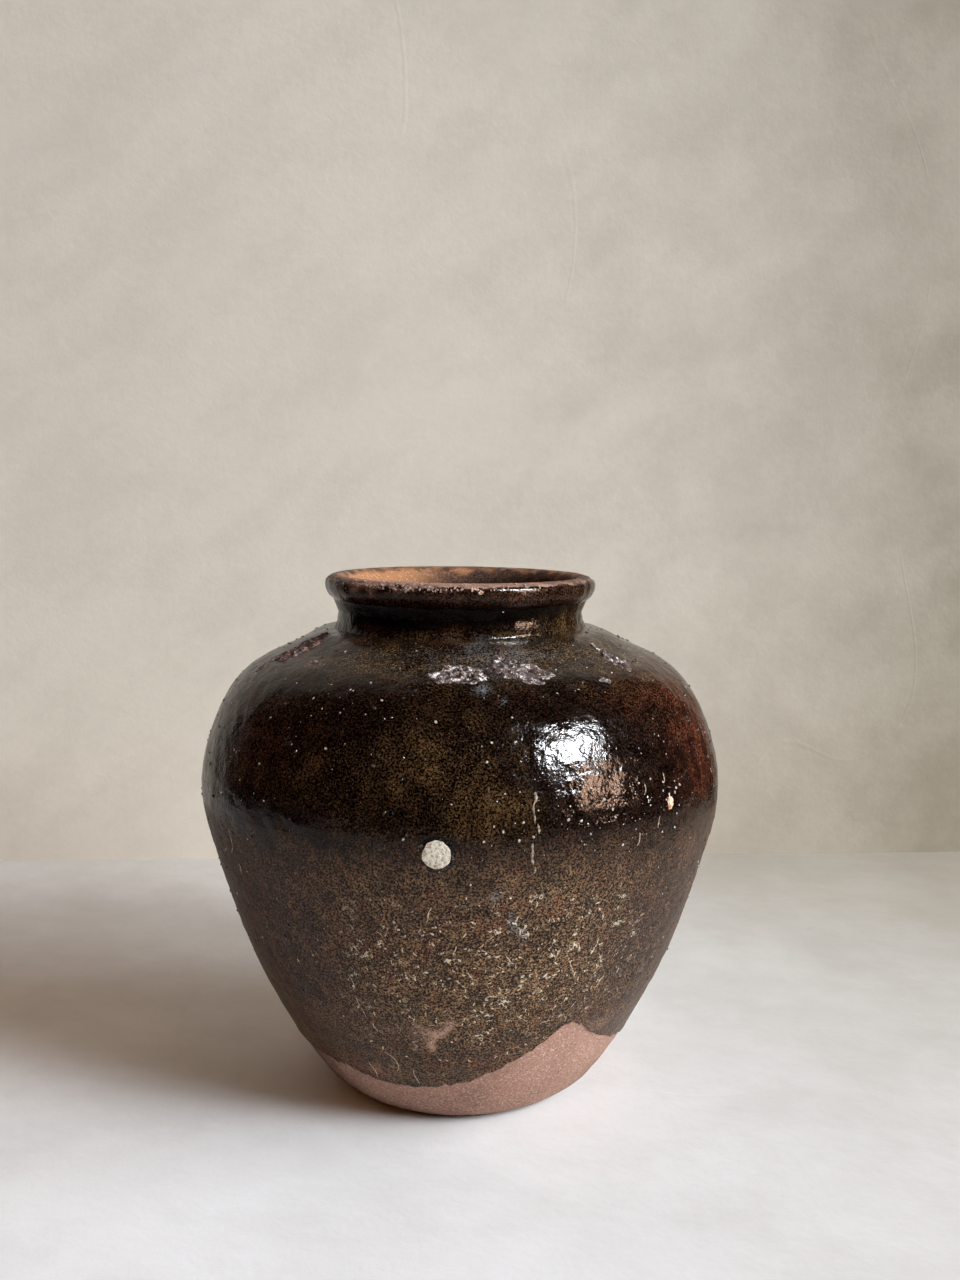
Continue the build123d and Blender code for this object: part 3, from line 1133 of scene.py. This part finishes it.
@dataclass(frozen=True)
class GlazeCoat:
    """The dipped coat, from its wavy run line above the foot to the worn edge of the lip."""

    skin: Skin
    finish: Material
    thickness: float = 0.6 * MM
    sunk: float = 0.15 * MM
    bead: float = 0.30 * MM
    bead_width: float = 1.6 * MM
    line_rise: float = 40.0 * MM
    columns: int = 480
    outer_rows: int = 158
    inner_rows: int = 28
    edge_steps: Row = (0.0, 0.12, 0.3, 0.6, 1.0, 1.6, 2.4, 3.5)  # millimetres from both edges
    # The run line: azimuth as a share of a turn and height as a share of the rise
    line_shares: tuple[Row, ...] = (
        (-0.500, 0.28), (-0.417, 0.12), (-0.333, 0.38), (-0.250, 0.20), (-0.153, 0.12), (-0.106, 0.09),
        (-0.061, 0.00), (-0.022, 0.05), (0.017, 0.26), (0.050, 0.60), (0.082, 1.00), (0.111, 0.66),
        (0.139, 0.42), (0.183, 0.20), (0.250, 0.08), (0.333, 0.26), (0.417, 0.45),
    )  # fmt: skip

    def line_height(self, azimuth: Array) -> Array:
        """Height of the run line: a cubic through its stations all round, with crumbs along it.

        Args:
            azimuth: radians from the front.

        Returns:
            Metres.
        """
        shares = np.array(self.line_shares)
        shares = np.concatenate([shares[-2:] - (1, 0), shares, shares[:3] + (1, 0)])
        up = self.line_rise * cubic(shares[:, 0] * TURN, shares[:, 1], azimuth)
        ring = turned(np.full_like(azimuth, 0.09), np.zeros_like(azimuth), azimuth)
        crumbs = 0.7 * MM * wave_noise(ring, 4.5 * MM, 41) + 0.5 * MM * wave_noise(ring, 2.2 * MM, 42)
        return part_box("glaze_coat")[0].z + np.maximum(up + crumbs, 0)

    def top_height(self, azimuth: Array) -> Array:
        """Height of the worn edge on the lip, which wanders by a millimetre.

        Args:
            azimuth: radians from the front.

        Returns:
            Metres.
        """
        ring = turned(np.full_like(azimuth, 0.077), np.zeros_like(azimuth), azimuth)
        wear = 0.5 * MM * wave_noise(ring, 14 * MM, 43) + 0.3 * MM * wave_noise(ring, 4 * MM, 44)
        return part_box("glaze_coat")[1].z - 0.2 * MM + wear

    def masks(self, points: Array) -> dict[str, Array]:
        """The glaze's masks: its patches, the thin satin skin below the belly, and the worn edge on the lip.

        Args:
            points: places in space.

        Returns:
            Shares by name.
        """
        height = points[..., 2]
        lower = 1 - smooth_step(0.150, 0.186, height + 3.0 * MM * wave_noise(points, 22 * MM, 60))
        masks = {name: covered(name, points, seed) for seed, name in enumerate(GLAZE_MASKS, 61)}
        masks["pale"] += 0.22 * lower
        masks["worn"] += smooth_step(0.2918, 0.2935, height)
        masks["lower"] = lower + 0.18 * smooth_step(0.2825, 0.286, height)
        masks = {name: np.clip(mask, 0, 1) for name, mask in masks.items()}
        masks["flecks_and_glints"] += 0.03
        return masks

    def build(self) -> Piece:
        """The coat as one closed shell: up its glossy outside, round the worn edge and down against the clay.

        Returns:
            The piece.
        """
        azimuth = around(self.columns)[None, :]
        bottom = self.skin.outline.place_of(self.line_height(azimuth[0]))[None, :]
        top = self.skin.outline.place_of(self.top_height(azimuth[0]))[None, :]
        edge = np.array(self.edge_steps) * MM / float(np.mean(top - bottom))
        middle = np.linspace(edge[-1], 1 - edge[-1], self.outer_rows - 2 * len(edge) + 2)
        share = np.concatenate([edge[:-1], middle, (1 - edge[:-1])[::-1]])[:, None]
        along = bottom + (top - bottom) * share
        from_line = (along - bottom) / self.bead_width
        from_top = (top - along) / (1.4 * self.bead_width)
        low_share, high_share = np.clip(from_line, 0, 1), np.clip(from_top, 0, 1)
        rounded = np.sqrt(1 - (1 - low_share) ** 2) * np.sqrt(1 - (1 - high_share) ** 2)
        thick = rounded * (self.thickness + self.bead * np.exp(-((from_line - 1.0) ** 2)))
        share = np.linspace(1, 0, self.inner_rows)[:, None]
        inside = self.skin.points(azimuth, bottom + (top - bottom) * share, -self.sunk)
        points = np.concatenate([self.skin.points(azimuth, along, thick), inside])
        piece = ring_piece("glaze_coat_skin", points)
        return dress(piece, self.finish, Slot.GLAZE, "glaze_coat", **self.masks(points))


@dataclass(frozen=True)
class Footprint:
    """An oval on the skin: its middle in radians and metres along the outline, its half sizes in metres."""

    azimuth: float
    along: float
    wide: float
    tall: float

    @staticmethod
    def of_node(skin: Skin, node: str) -> "Footprint":
        """The oval that a CAD pad covers.

        Args:
            skin: the jar's skin.
            node: the pad's node.

        Returns:
            Its footprint.
        """
        places = node_points(node)
        turn = azimuth_of(places)
        middle = math.atan2(np.sin(turn).mean(), np.cos(turn).mean())
        rise = skin.outline.nearest(np.hypot(places[:, 0], places[:, 1]), places[:, 2])
        along = (rise.max() + rise.min()) / 2
        radius = np.interp(along, skin.outline.along, skin.outline.radius)
        return Footprint(middle, along, np.ptp(wrapped(turn - middle)) / 2 * radius, np.ptp(rise) / 2)

    @staticmethod
    def at(skin: Skin, azimuth: float, height: float, wide: float, tall: float) -> "Footprint":
        """An oval by degrees from the front, millimetres up, and its half sizes in millimetres."""
        along = float(skin.outline.place_of(height * MM))
        return Footprint(math.radians(azimuth), along, wide * MM, tall * MM)


@dataclass(frozen=True)
class CrustPad:
    """A rough pad on the glaze: a ragged oval whose top is broken by noise, with a bottom sunk into it."""

    skin: Skin
    name: str
    footprint: Footprint
    finish: Material
    slot: Slot
    thickness: float
    roughness: float
    ragged: float
    seed: int
    reach: float = 1.0
    lean: float = 0.0
    base_lift: float = 0.6 * MM
    sunk: float = 0.35 * MM
    columns: int = 96
    rows: int = 26

    def build(self, *nodes: str) -> Piece:
        """Makes the pad.

        Args:
            nodes: the CAD nodes that it stands for, if any.

        Returns:
            The piece.
        """
        place = self.footprint
        angle = around(self.columns)[None, :]
        ring = np.stack([np.cos(angle), np.sin(angle), 0 * angle], axis=-1)
        ragged = 0.6 * wave_noise(ring, 1.3, self.seed) + 0.4 * wave_noise(ring, 0.5, self.seed + 1)
        edge = np.clip(1 - self.ragged + self.ragged * ragged, 0.45, 1.0) * self.reach
        share = np.concatenate([[0.0, 0.5, 1.0], np.linspace(1.0, 0.0, self.rows) ** 0.8])[:, None]
        right = place.wide * share * edge * np.cos(angle)
        up = place.tall * share * edge * np.sin(angle) - self.lean * right
        spots = np.stack([right, up, np.full_like(right, self.seed * 0.1)], axis=-1)
        broken = wave_noise(spots, 5.0 * MM, self.seed + 2) + 0.7 * wave_noise(spots, 2.2 * MM, self.seed + 3)
        dome = np.sqrt(np.clip(1 - share**4, 0, 1))
        lift = self.base_lift + self.thickness * dome * (1 - self.roughness * (0.5 - 0.35 * broken))
        lift[:3] = self.base_lift - self.sunk
        points = self.skin.patch_points(place.azimuth, place.along, right, up, lift)
        return dress(disc_shells(self.name, points[None]), self.finish, self.slot, *nodes)


@dataclass(frozen=True)
class Crumbs:
    """Hundreds of small domes fused to the glaze: kiln grit, white flecks that are partly ash and partly
    painted glints, or wear on the lip.
    """

    skin: Skin
    name: str
    finish: Material
    slot: Slot
    count: int
    smallest: float
    largest: float
    flatness: float
    patches: tuple[Patch, ...]
    spread: float
    seed: int
    low: float = 74.0 * MM
    high: float = 262.0 * MM
    base_lift: float = 0.6 * MM
    columns: int = 8
    # From the middle below, round the edge, to the top: share of the radius and of the height
    profile: tuple[Row, Row] = ((0.0, 1.0, 1.0, 0.78, 0.42, 0.0), (-0.6, -0.6, 0.0, 0.62, 0.92, 1.0))

    def build(self) -> Piece:
        """Drops the domes at random, more of them where the patches are strong.

        Returns:
            The piece.
        """
        random = np.random.default_rng(self.seed)
        tries = self.count * 40
        azimuth = random.uniform(-math.pi, math.pi, tries)
        along = random.uniform(*self.skin.outline.place_of((self.low, self.high)), tries)
        height = np.interp(along, self.skin.outline.along, self.skin.outline.height)
        wanted = self.spread + sum(patch.at(azimuth, height) for patch in self.patches)
        kept = np.flatnonzero(random.uniform(0, 1, tries) < wanted)[: self.count]
        size = self.smallest + (self.largest - self.smallest) * random.uniform(0, 1, len(kept)) ** 3
        azimuth, along, size = (part[:, None, None] for part in (azimuth[kept], along[kept], size))
        angle = around(self.columns)[None, None, :]
        share, level = np.array(self.profile)[:, None, :, None]
        reach = size * share * (1 + 0.22 * np.sin(2 * angle + random.uniform(0, 6.28, size.shape)))
        lift = self.base_lift + level * size * self.flatness + 0 * reach
        points = self.skin.patch_points(azimuth, along, reach * np.cos(angle), reach * np.sin(angle), lift)
        return dress(disc_shells(self.name, points), self.finish, self.slot)


# Scuffs by degrees from the front, millimetres up, heading in degrees from upright, length and width
# fmt: off
FADED_RUNS = (
    (14.0, 198.5, 2, 5, 2.6), (13.9, 192, 2, 12, 1.5), (14.3, 184, -8, 5, 1.9), (13.4, 172, -2, 11, 2.2),
    (13.6, 164, 6, 4, 1.6),
)
PALE_SCUFFS = (
    (-6.0, 141, 14, 9, 0.9), (-1.0, 122, 20, 5, 0.9), (2.0, 107, -30, 6, 0.8), (10.5, 115, -38, 7, 0.9),
    (8.5, 111, -52, 4, 0.7), (24.5, 108, -24, 7, 0.9), (-26.0, 96, 10, 12, 0.5), (-24.0, 82, -14, 14, 0.5),
    (-21.5, 70, -20, 6, 0.9), (-27.0, 36, -8, 15, 0.9), (-20.0, 46, -14, 16, 0.7), (-13.0, 38, -10, 12, 0.7),
    (6.0, 128, 48, 5, 0.6), (11.3, 137, 6, 6, 1.4), (11.8, 131, -10, 5, 1.2), (36.0, 172, 8, 7, 0.9),
    (-55.0, 160, 6, 14, 1.1), (-53.0, 146, 10, 6, 1.3), (38.0, 196, 10, 6, 0.9), (44.0, 199, 4, 5, 1.1),
    (41.5, 178, 12, 6, 0.8), (30.0, 118, 12, 8, 0.7), (34.0, 92, 24, 9, 0.6), (21.0, 76, 40, 7, 0.6),
    (14.0, 80, -50, 5, 0.6),
)
FOOT_NICKS = (
    (-24.0, 16, 80, 3.2, 1.3), (-20.0, 12, 70, 2.2, 1.0), (-18.0, 22, 40, 2.4, 1.2), (5.6, 14, 65, 4.0, 1.0),
    (-3.7, 12, 85, 2.4, 1.1), (26.0, 18, 50, 2.6, 1.1), (14.0, 41, 75, 2.2, 0.9), (-12.0, 9, 88, 5.0, 0.9),
    (150.0, 14, 60, 4.0, 1.2),
)
# fmt: on


@dataclass(frozen=True)
class Scuffs:
    """Scratches, drips and nicks as slivers that follow the surface: some placed, the rest scattered."""

    skin: Skin
    finish: Material
    name: str
    placed: tuple[Row, ...]
    random_count: int
    lift: float
    proud: float = 0.14 * MM
    seed: int = 77
    steps: int = 13

    def table(self, random: np.random.Generator) -> Array:
        """The placed slivers, and as many scattered in front as behind.

        Args:
            random: draws the scattered ones.

        Returns:
            A row for each sliver, (n, 5).
        """
        count = self.random_count
        columns = [
            random.normal(8, 18, count),
            random.normal(98, 26, count).clip(52, 172),
            random.normal(0, 60, count),
            random.uniform(1.0, 3.2, count),
            random.uniform(0.6, 1.5, count),
        ]
        behind = [random.uniform(90, 270, count), *columns[1:]]
        return np.concatenate([self.placed, np.stack(columns, axis=-1), np.stack(behind, axis=-1)])

    def build(self) -> Piece:
        """Draws each sliver along a bent line, four corners to a section, and closes its ends.

        Returns:
            The piece.
        """
        random = np.random.default_rng(self.seed)
        azimuth, height, heading, length, width = self.table(random).T[:, :, None, None]
        azimuth, heading, length, width = np.radians(azimuth), np.radians(heading), length * MM, width * MM
        along = self.skin.outline.place_of(height * MM)
        t = np.linspace(-0.5, 0.5, self.steps)[None, :, None]
        bend = random.normal(0, 0.12, length.shape) * length
        wobble = random.uniform(0, 6.28, length.shape)
        taper = width / 2 * np.sqrt(np.clip(1.02 - (2 * t) ** 2, 0.02, 1))
        taper = taper * (1 + 0.35 * np.sin(17 * t + 2 * wobble))
        across = np.array([1.0, 0.0, -1.0, 0.0])
        side = bend * np.cos(math.pi * t) + 0.02 * length * np.sin(9 * t + wobble) + taper * across
        right = length * t * np.sin(heading) + side * np.cos(heading)
        up = length * t * np.cos(heading) - side * np.sin(heading)
        level = self.lift + np.array([-0.10 * MM, self.proud, -0.10 * MM, -0.30 * MM]) + 0 * right
        points = self.skin.patch_points(azimuth, along, right, up, level)
        steps, corners = points.shape[1:3]
        ends = np.array([[3, 2, 1, 0], [0, 1, 2, 3]]) + np.array([[0], [(steps - 1) * corners]])
        faces = np.concatenate([grid_faces(steps, corners, False), ends])
        piece = repeated_piece(self.name, points.reshape(len(points), -1, 3), faces)
        return dress(piece, self.finish, Slot.CLAY)


# Stage


@dataclass(frozen=True)
class Lamp:
    """A soft area light that faces the jar: degrees from the front and up, metres wide and tall, its roll."""

    name: str
    turn: float
    rise: float
    width: float
    height: float
    roll: float
    power: float
    colour: str
    glossy: bool = True
    diffuse: bool = True
    distance: float = 5.0
    aim_height: float = 0.2

    def build(self) -> None:
        """Hangs the lamp on its line from the jar's middle."""
        data = bpy.data.lights.new(self.name, "AREA")
        data.shape = "RECTANGLE"
        data.size, data.size_y, data.energy = self.width, self.height, self.power
        data.color = linear(self.colour)[:3]
        lamp = bpy.data.objects.new(self.name, data)
        turn, rise = math.radians(self.turn), math.radians(self.rise)
        away, up = math.cos(rise) * self.distance, math.sin(rise) * self.distance
        lamp.location = turned(away, up + self.aim_height, turn)
        facing = Euler((math.pi / 2 - rise, 0.0, turn)).to_matrix()
        lamp.rotation_euler = (facing @ Euler((0.0, 0.0, math.radians(self.roll))).to_matrix()).to_euler()
        lamp.visible_glossy, lamp.visible_diffuse = self.glossy, self.diffuse
        bpy.context.scene.collection.objects.link(lamp)


@dataclass(frozen=True)
class Studio:
    """A pale floor that ends in front of the jar, a pale wall behind it, one soft window and a dim room."""

    floor_front: float = -0.76
    floor_back: float = 0.454
    floor_side: float = 0.95
    wall_place: float = 0.404
    wall_turn_share: float = 0.033
    wall_height: float = 1.5
    wall_side: float = 1.3
    far: float = 4.0
    drop: float = 0.5 * MM
    lamps: tuple[Lamp, ...] = (
        Lamp("window", 59.0, 29.0, 1.35, 1.7, -18.0, 268.0, "#eef7ff", glossy=False),
        Lamp("window_shine", 55.0, 32.5, 1.25, 1.1, -18.0, 1150.0, "#f6faff", diffuse=False),
        Lamp("side_window", 84.0, 26.0, 2.5, 2.2, 0.0, 175.0, "#eef7ff", glossy=False),
        Lamp("curtain", 60.5, 12.0, 0.75, 1.2, -8.0, 185.0, "#ffcfb0", diffuse=False),
    )
    fill_strength: float = 0.180
    low_fill_share: float = 0.12
    room_strength: float = 0.012
    room_size: float = 6.0
    room_columns: int = 48

    def sheet(self, name: str, corners: list[Row], finish: Material) -> Piece:
        """A flat four-cornered stage piece.

        Args:
            name: the piece's name.
            corners: its corners in metres.
            finish: its material.

        Returns:
            The piece.
        """
        piece = mesh_object(name, np.array(corners), np.array([[0, 1, 2, 3]]), smooth=False)
        piece.data.materials.append(finish)
        return piece

    def floor(self, name: str, sides: tuple[float, float, float, float], finish: Material) -> Piece:
        """A level stage piece.

        Args:
            name: the piece's name.
            sides: its reach to both sides, its front, its back and its height.
            finish: its material.

        Returns:
            The piece.
        """
        side, front, back, up = sides
        corners = [(-side, front, up), (side, front, up), (side, back, up), (-side, back, up)]
        return self.sheet(name, corners, finish)

    def upright(self, name: str, left: float, right: float, nearer: float, finish: Material) -> Piece:
        """A stage piece that stands along the wall's line.

        Args:
            name: the piece's name.
            left: where it starts, in metres to the right of the jar.
            right: where it ends.
            nearer: how far in front of the wall it stands.
            finish: its material.

        Returns:
            The piece.
        """
        start, end = (self.wall_place - nearer + self.wall_turn_share * x for x in (left, right))
        high = self.wall_height
        corners = [(left, start, 0), (right, end, 0), (right, end, high), (left, start, high)]
        return self.sheet(name, corners, finish)

    def build(self) -> None:
        """Lays the floor, stands the wall, hangs the lamps and closes the dim room that glossy rays see."""
        # Floor and wall carry painted light: pale round one place, deeper where light would fall off
        floor = Limewash("floor_with_painted_light", "#f9f9f9", "#a09787", (-0.5, -0.6, 0.0), 1.52, 0.70).build()
        place = (-0.85, 0.44, 0.38)
        wall = Limewash("wall_with_painted_light", "#e9dfd0", "#827763", place, 1.64, 0.54, True).build()
        self.floor("near_floor", (self.floor_side, self.floor_front, self.floor_back, 0.0), floor)
        self.upright("wall", -self.wall_side, self.wall_side, 0.0, wall)
        far_floor = self.floor("far_floor", (self.far, -self.far, self.far, -self.drop), floor)
        far_floor.visible_glossy = False
        far_floor.visible_diffuse = False
        self.room()
        for lamp in self.lamps:
            lamp.build()
        self.world()

    def room(self) -> None:
        """A dim glowing dome round the stage and two dark sheets along the wall's line, which only glossy
        rays meet: a painted reflection of the unlit room in front of the jar and of dark places to the wall's
        right and left.
        """
        azimuth, rise = around(self.room_columns)[None, :], np.linspace(-0.5, 1.0, 19)[:, None] * math.pi / 2
        points = turned(self.room_size * np.cos(rise), self.room_size * np.sin(rise), azimuth)
        faces = grid_faces(len(rise), self.room_columns, False)[:, ::-1]
        dome = mesh_object("dim_room", points.reshape(-1, 3), faces)
        tree = NodeTree(bpy.data.materials.new("dim_room_glow"))
        tree.add(SURFACE, tree.add(Step("Emission", ("Color", "Strength")), "#c9c4ff", self.room_strength))
        dome.data.materials.append(tree.owner)
        # Dark sheets along the wall, seen only in reflections: painted dark reflections
        right_screen = self.upright("reflection_screen_right", 0.41, self.wall_side, 0.01, tree.owner)
        corner = self.upright("reflection_screen_left", -self.wall_side, -0.78, 0.01, tree.owner)
        for screen in (dome, right_screen, corner):
            screen.visible_camera = False
            screen.visible_diffuse = False
            screen.visible_shadow = False
            screen.visible_transmission = False

    def world(self) -> None:
        """Soft warm light for matt surfaces, most of it from above, and a pale background past the stage."""
        tree = NodeTree(bpy.data.worlds.new("soft_light"))
        add = tree.add
        bpy.context.scene.world = tree.owner
        path = add(Step("LightPath")).node.outputs
        seen = add(LARGER, path["Is Camera Ray"], path["Is Glossy Ray"])
        seen = add(LARGER, seen, path["Is Transmission Ray"])
        way = add(LEVEL, add(Step("TexCoord", (), "Generated")))
        power = add(RAMP, way, -0.1, 0.9, self.fill_strength * self.low_fill_share, self.fill_strength)
        background = Step("Background", ("Color", "Strength"))
        light = add(EITHER, seen, add(background, "#ffa850", power), add(background, "#d9d4cc", 1.0))
        add(Step("OutputWorld", ("Surface",)), light)


@dataclass(frozen=True)
class Viewpoint:
    """The photograph's camera: level with the lip, close, tipped a little down."""

    place: tuple[float, float, float] = (0.0, -0.6941, 0.3414)
    tip_down: float = 7.037
    image_size: tuple[int, int] = (960, 1280)
    focal_pixels: float = 1200.0
    sideways_pixels: float = 20.0

    def build(self) -> None:
        """Makes the camera and sets it as the scene's."""
        data = bpy.data.cameras.new("camera")
        long_side = max(self.image_size)
        data.lens = data.sensor_width * self.focal_pixels / long_side
        data.shift_x = self.sideways_pixels / long_side
        data.clip_start, data.clip_end = 0.01, 50.0
        camera = bpy.data.objects.new("camera", data)
        camera.location = self.place
        camera.rotation_euler = (math.radians(90 - self.tip_down), 0.0, 0.0)
        bpy.context.scene.collection.objects.link(camera)
        bpy.context.scene.camera = camera


# The whole jar

# Name: ground, pale and dark colours, the lumps' size in millimetres, gloss and dullness
CRUSTS = {
    # On the scars' crusts the pale colour is partly painted glints
    "fused_kiln_crust": ("#5a423a", "#fff2ea", "#100806", 1.5),
    "red_kiln_crust": ("#5c2b1c", "#d8ab98", "#140907", 1.5),
    "scorched_kiln_crust": ("#4b2a22", "#8d6456", "#1a0d0a"),
    "fired_lime": ("#f7ebd6", "#fffaea", "#b9a78d", 0.9, 0.8, 0.9),
    "chipped_glaze": ("#ecc9a2", "#fbf0e0", "#b86a36", 1.6, 0.6, 0.8),
    # Painted glints: a white crust for the small streak at the left
    "ash_glints": ("#8a7468", "#ffffff", "#1a0f0b", 1.3),
    "white_ash_and_glints": ("#d8cfc2", "#ffffff", "#b9ab9b", 0.5, 0.4, 0.8),
    "worn_lip_clay": ("#c79f8b", "#f2ded2", "#6e4636", 0.9, 0.6, 0.8),
    "scuffed_glaze": ("#d6c4a4", "#f6ecd8", "#a58c66", 0.8, 0.5, 0.8),
    "faded_run": ("#957e66", "#d2bda2", "#4d3c2c", 1.2, 0.5, 0.8),
    "nicked_clay": ("#4a342a", "#7a5a4a", "#2a1c16", 0.8, 0.7, 0.9),
}
# Place of each stacking scar: its crust, its reach past the CAD pad and its lean
SCARS = {
    "left": ("red_kiln_crust", 1.5, -0.2),
    "front": ("fused_kiln_crust", 1.3, 0.05),
    "front_right": ("fused_kiln_crust", 1.3, 0.36),
    "right": ("fused_kiln_crust", 1.25, 0.3),
    "back_right": ("scorched_kiln_crust", 1.1, 0.0),
    "back": ("fused_kiln_crust", 1.1, 0.1),
    "back_left": ("scorched_kiln_crust", 1.1, -0.1),
}
# Small pads: degrees from the front, millimetres up and half sizes in millimetres, and for a crust its finish
CHIPS = {
    "glaze_chip": (45.2, 186.8, 3.2, 5.3),
    "rim_chip": (8.0, 290.6, 1.7, 1.6),
    "small_chip": (6.0, 292.4, 1.2, 0.9),
}
SMALL_CRUSTS = {
    "crust_streak_left": (-69.5, 246.5, 3.6, 9.5, "red_kiln_crust"),
    "crust_glints": (-46.5, 252.2, 8.5, 2.1, "ash_glints"),
    "crust_patch_right": (39.5, 246.0, 3.6, 4.4, "fused_kiln_crust"),
}


def marks(skin: Skin) -> None:
    """Makes all that lies on the glaze and the clay: scars, lime, chips, grit, flecks, wear and scuffs.

    Args:
        skin: the jar's outside.
    """
    crust = {name: KilnCrust(name, *looks).build() for name, looks in CRUSTS.items()}
    for seed, (place, (finish, reach, lean)) in zip(range(100, 200, 10), SCARS.items()):
        node = "stacking_scar_" + place
        pad = (skin, "kiln_crust_" + place, Footprint.of_node(skin, node), crust[finish], Slot.SCAR)
        CrustPad(*pad, 1.5 * MM, 1.1, 0.2, seed, reach, lean).build(node)
    pad = (skin, "lime_lump", Footprint.of_node(skin, "lime_spot"), crust["fired_lime"], Slot.LIME)
    CrustPad(*pad, 0.5 * MM, 0.5, 0.05, 300).build("lime_spot")
    for seed, (name, place) in zip(range(400, 500, 10), CHIPS.items()):
        pad = (skin, name, Footprint.at(skin, *place), crust["chipped_glaze"], Slot.CLAY)
        CrustPad(*pad, 0.25 * MM, 0.5, 0.25, seed).build()
    for seed, (name, (*place, finish)) in zip(range(500, 600, 10), SMALL_CRUSTS.items()):
        pad = (skin, name, Footprint.at(skin, *place), crust[finish], Slot.SCAR)
        CrustPad(*pad, 0.8 * MM, 1.1, 0.35, seed).build()

    grit = (skin, "kiln_grit", GlazedGrit().build(), Slot.GLAZE)
    Crumbs(*grit, 1100, 0.35 * MM, 1.2 * MM, 0.6, (), 0.5, 5).build()
    # White domes, partly flecks of ash and partly painted glints
    ash_and_glints = (skin, "ash_flecks_and_glints", crust["white_ash_and_glints"], Slot.LIME)
    Crumbs(*ash_and_glints, 620, 0.15 * MM, 0.8 * MM, 0.3, PATCHES["flecks_and_glints"], 0.01, 6).build()
    wear = (skin, "lip_wear", crust["worn_lip_clay"], Slot.CLAY)
    Crumbs(*wear, 240, 0.3 * MM, 0.85 * MM, 0.3, PATCHES["lip_wear"], 0.0, 7, 0.2895, 0.2945).build()
    Scuffs(skin, crust["scuffed_glaze"], "pale_scuffs", PALE_SCUFFS, 130, 0.6 * MM).build()
    Scuffs(skin, crust["faded_run"], "faded_runs", FADED_RUNS, 0, 0.6 * MM, seed=79).build()
    Scuffs(skin, crust["nicked_clay"], "foot_nicks", FOOT_NICKS, 0, 0.0, 0.08 * MM, 78).build()


def main() -> None:
    """Builds the jar's sub-assemblies in order, then the stage."""
    logging.basicConfig(level=logging.INFO, format="%(message)s")
    bpy.context.scene.view_settings.view_transform = "Standard"
    skin = Skin(Outline(Side.OUTSIDE, CLAY_NODES), Relief())
    inner = Skin(Outline(Side.INSIDE, CLAY_NODES[1:]), skin.relief)
    ClayBody(skin, inner, BareStoneware().build()).build()
    GlazeCoat(skin, IronGlaze().build(skin.outline)).build()
    marks(skin)
    Studio().build()
    Viewpoint().build()


if __name__ == "__main__":
    main()
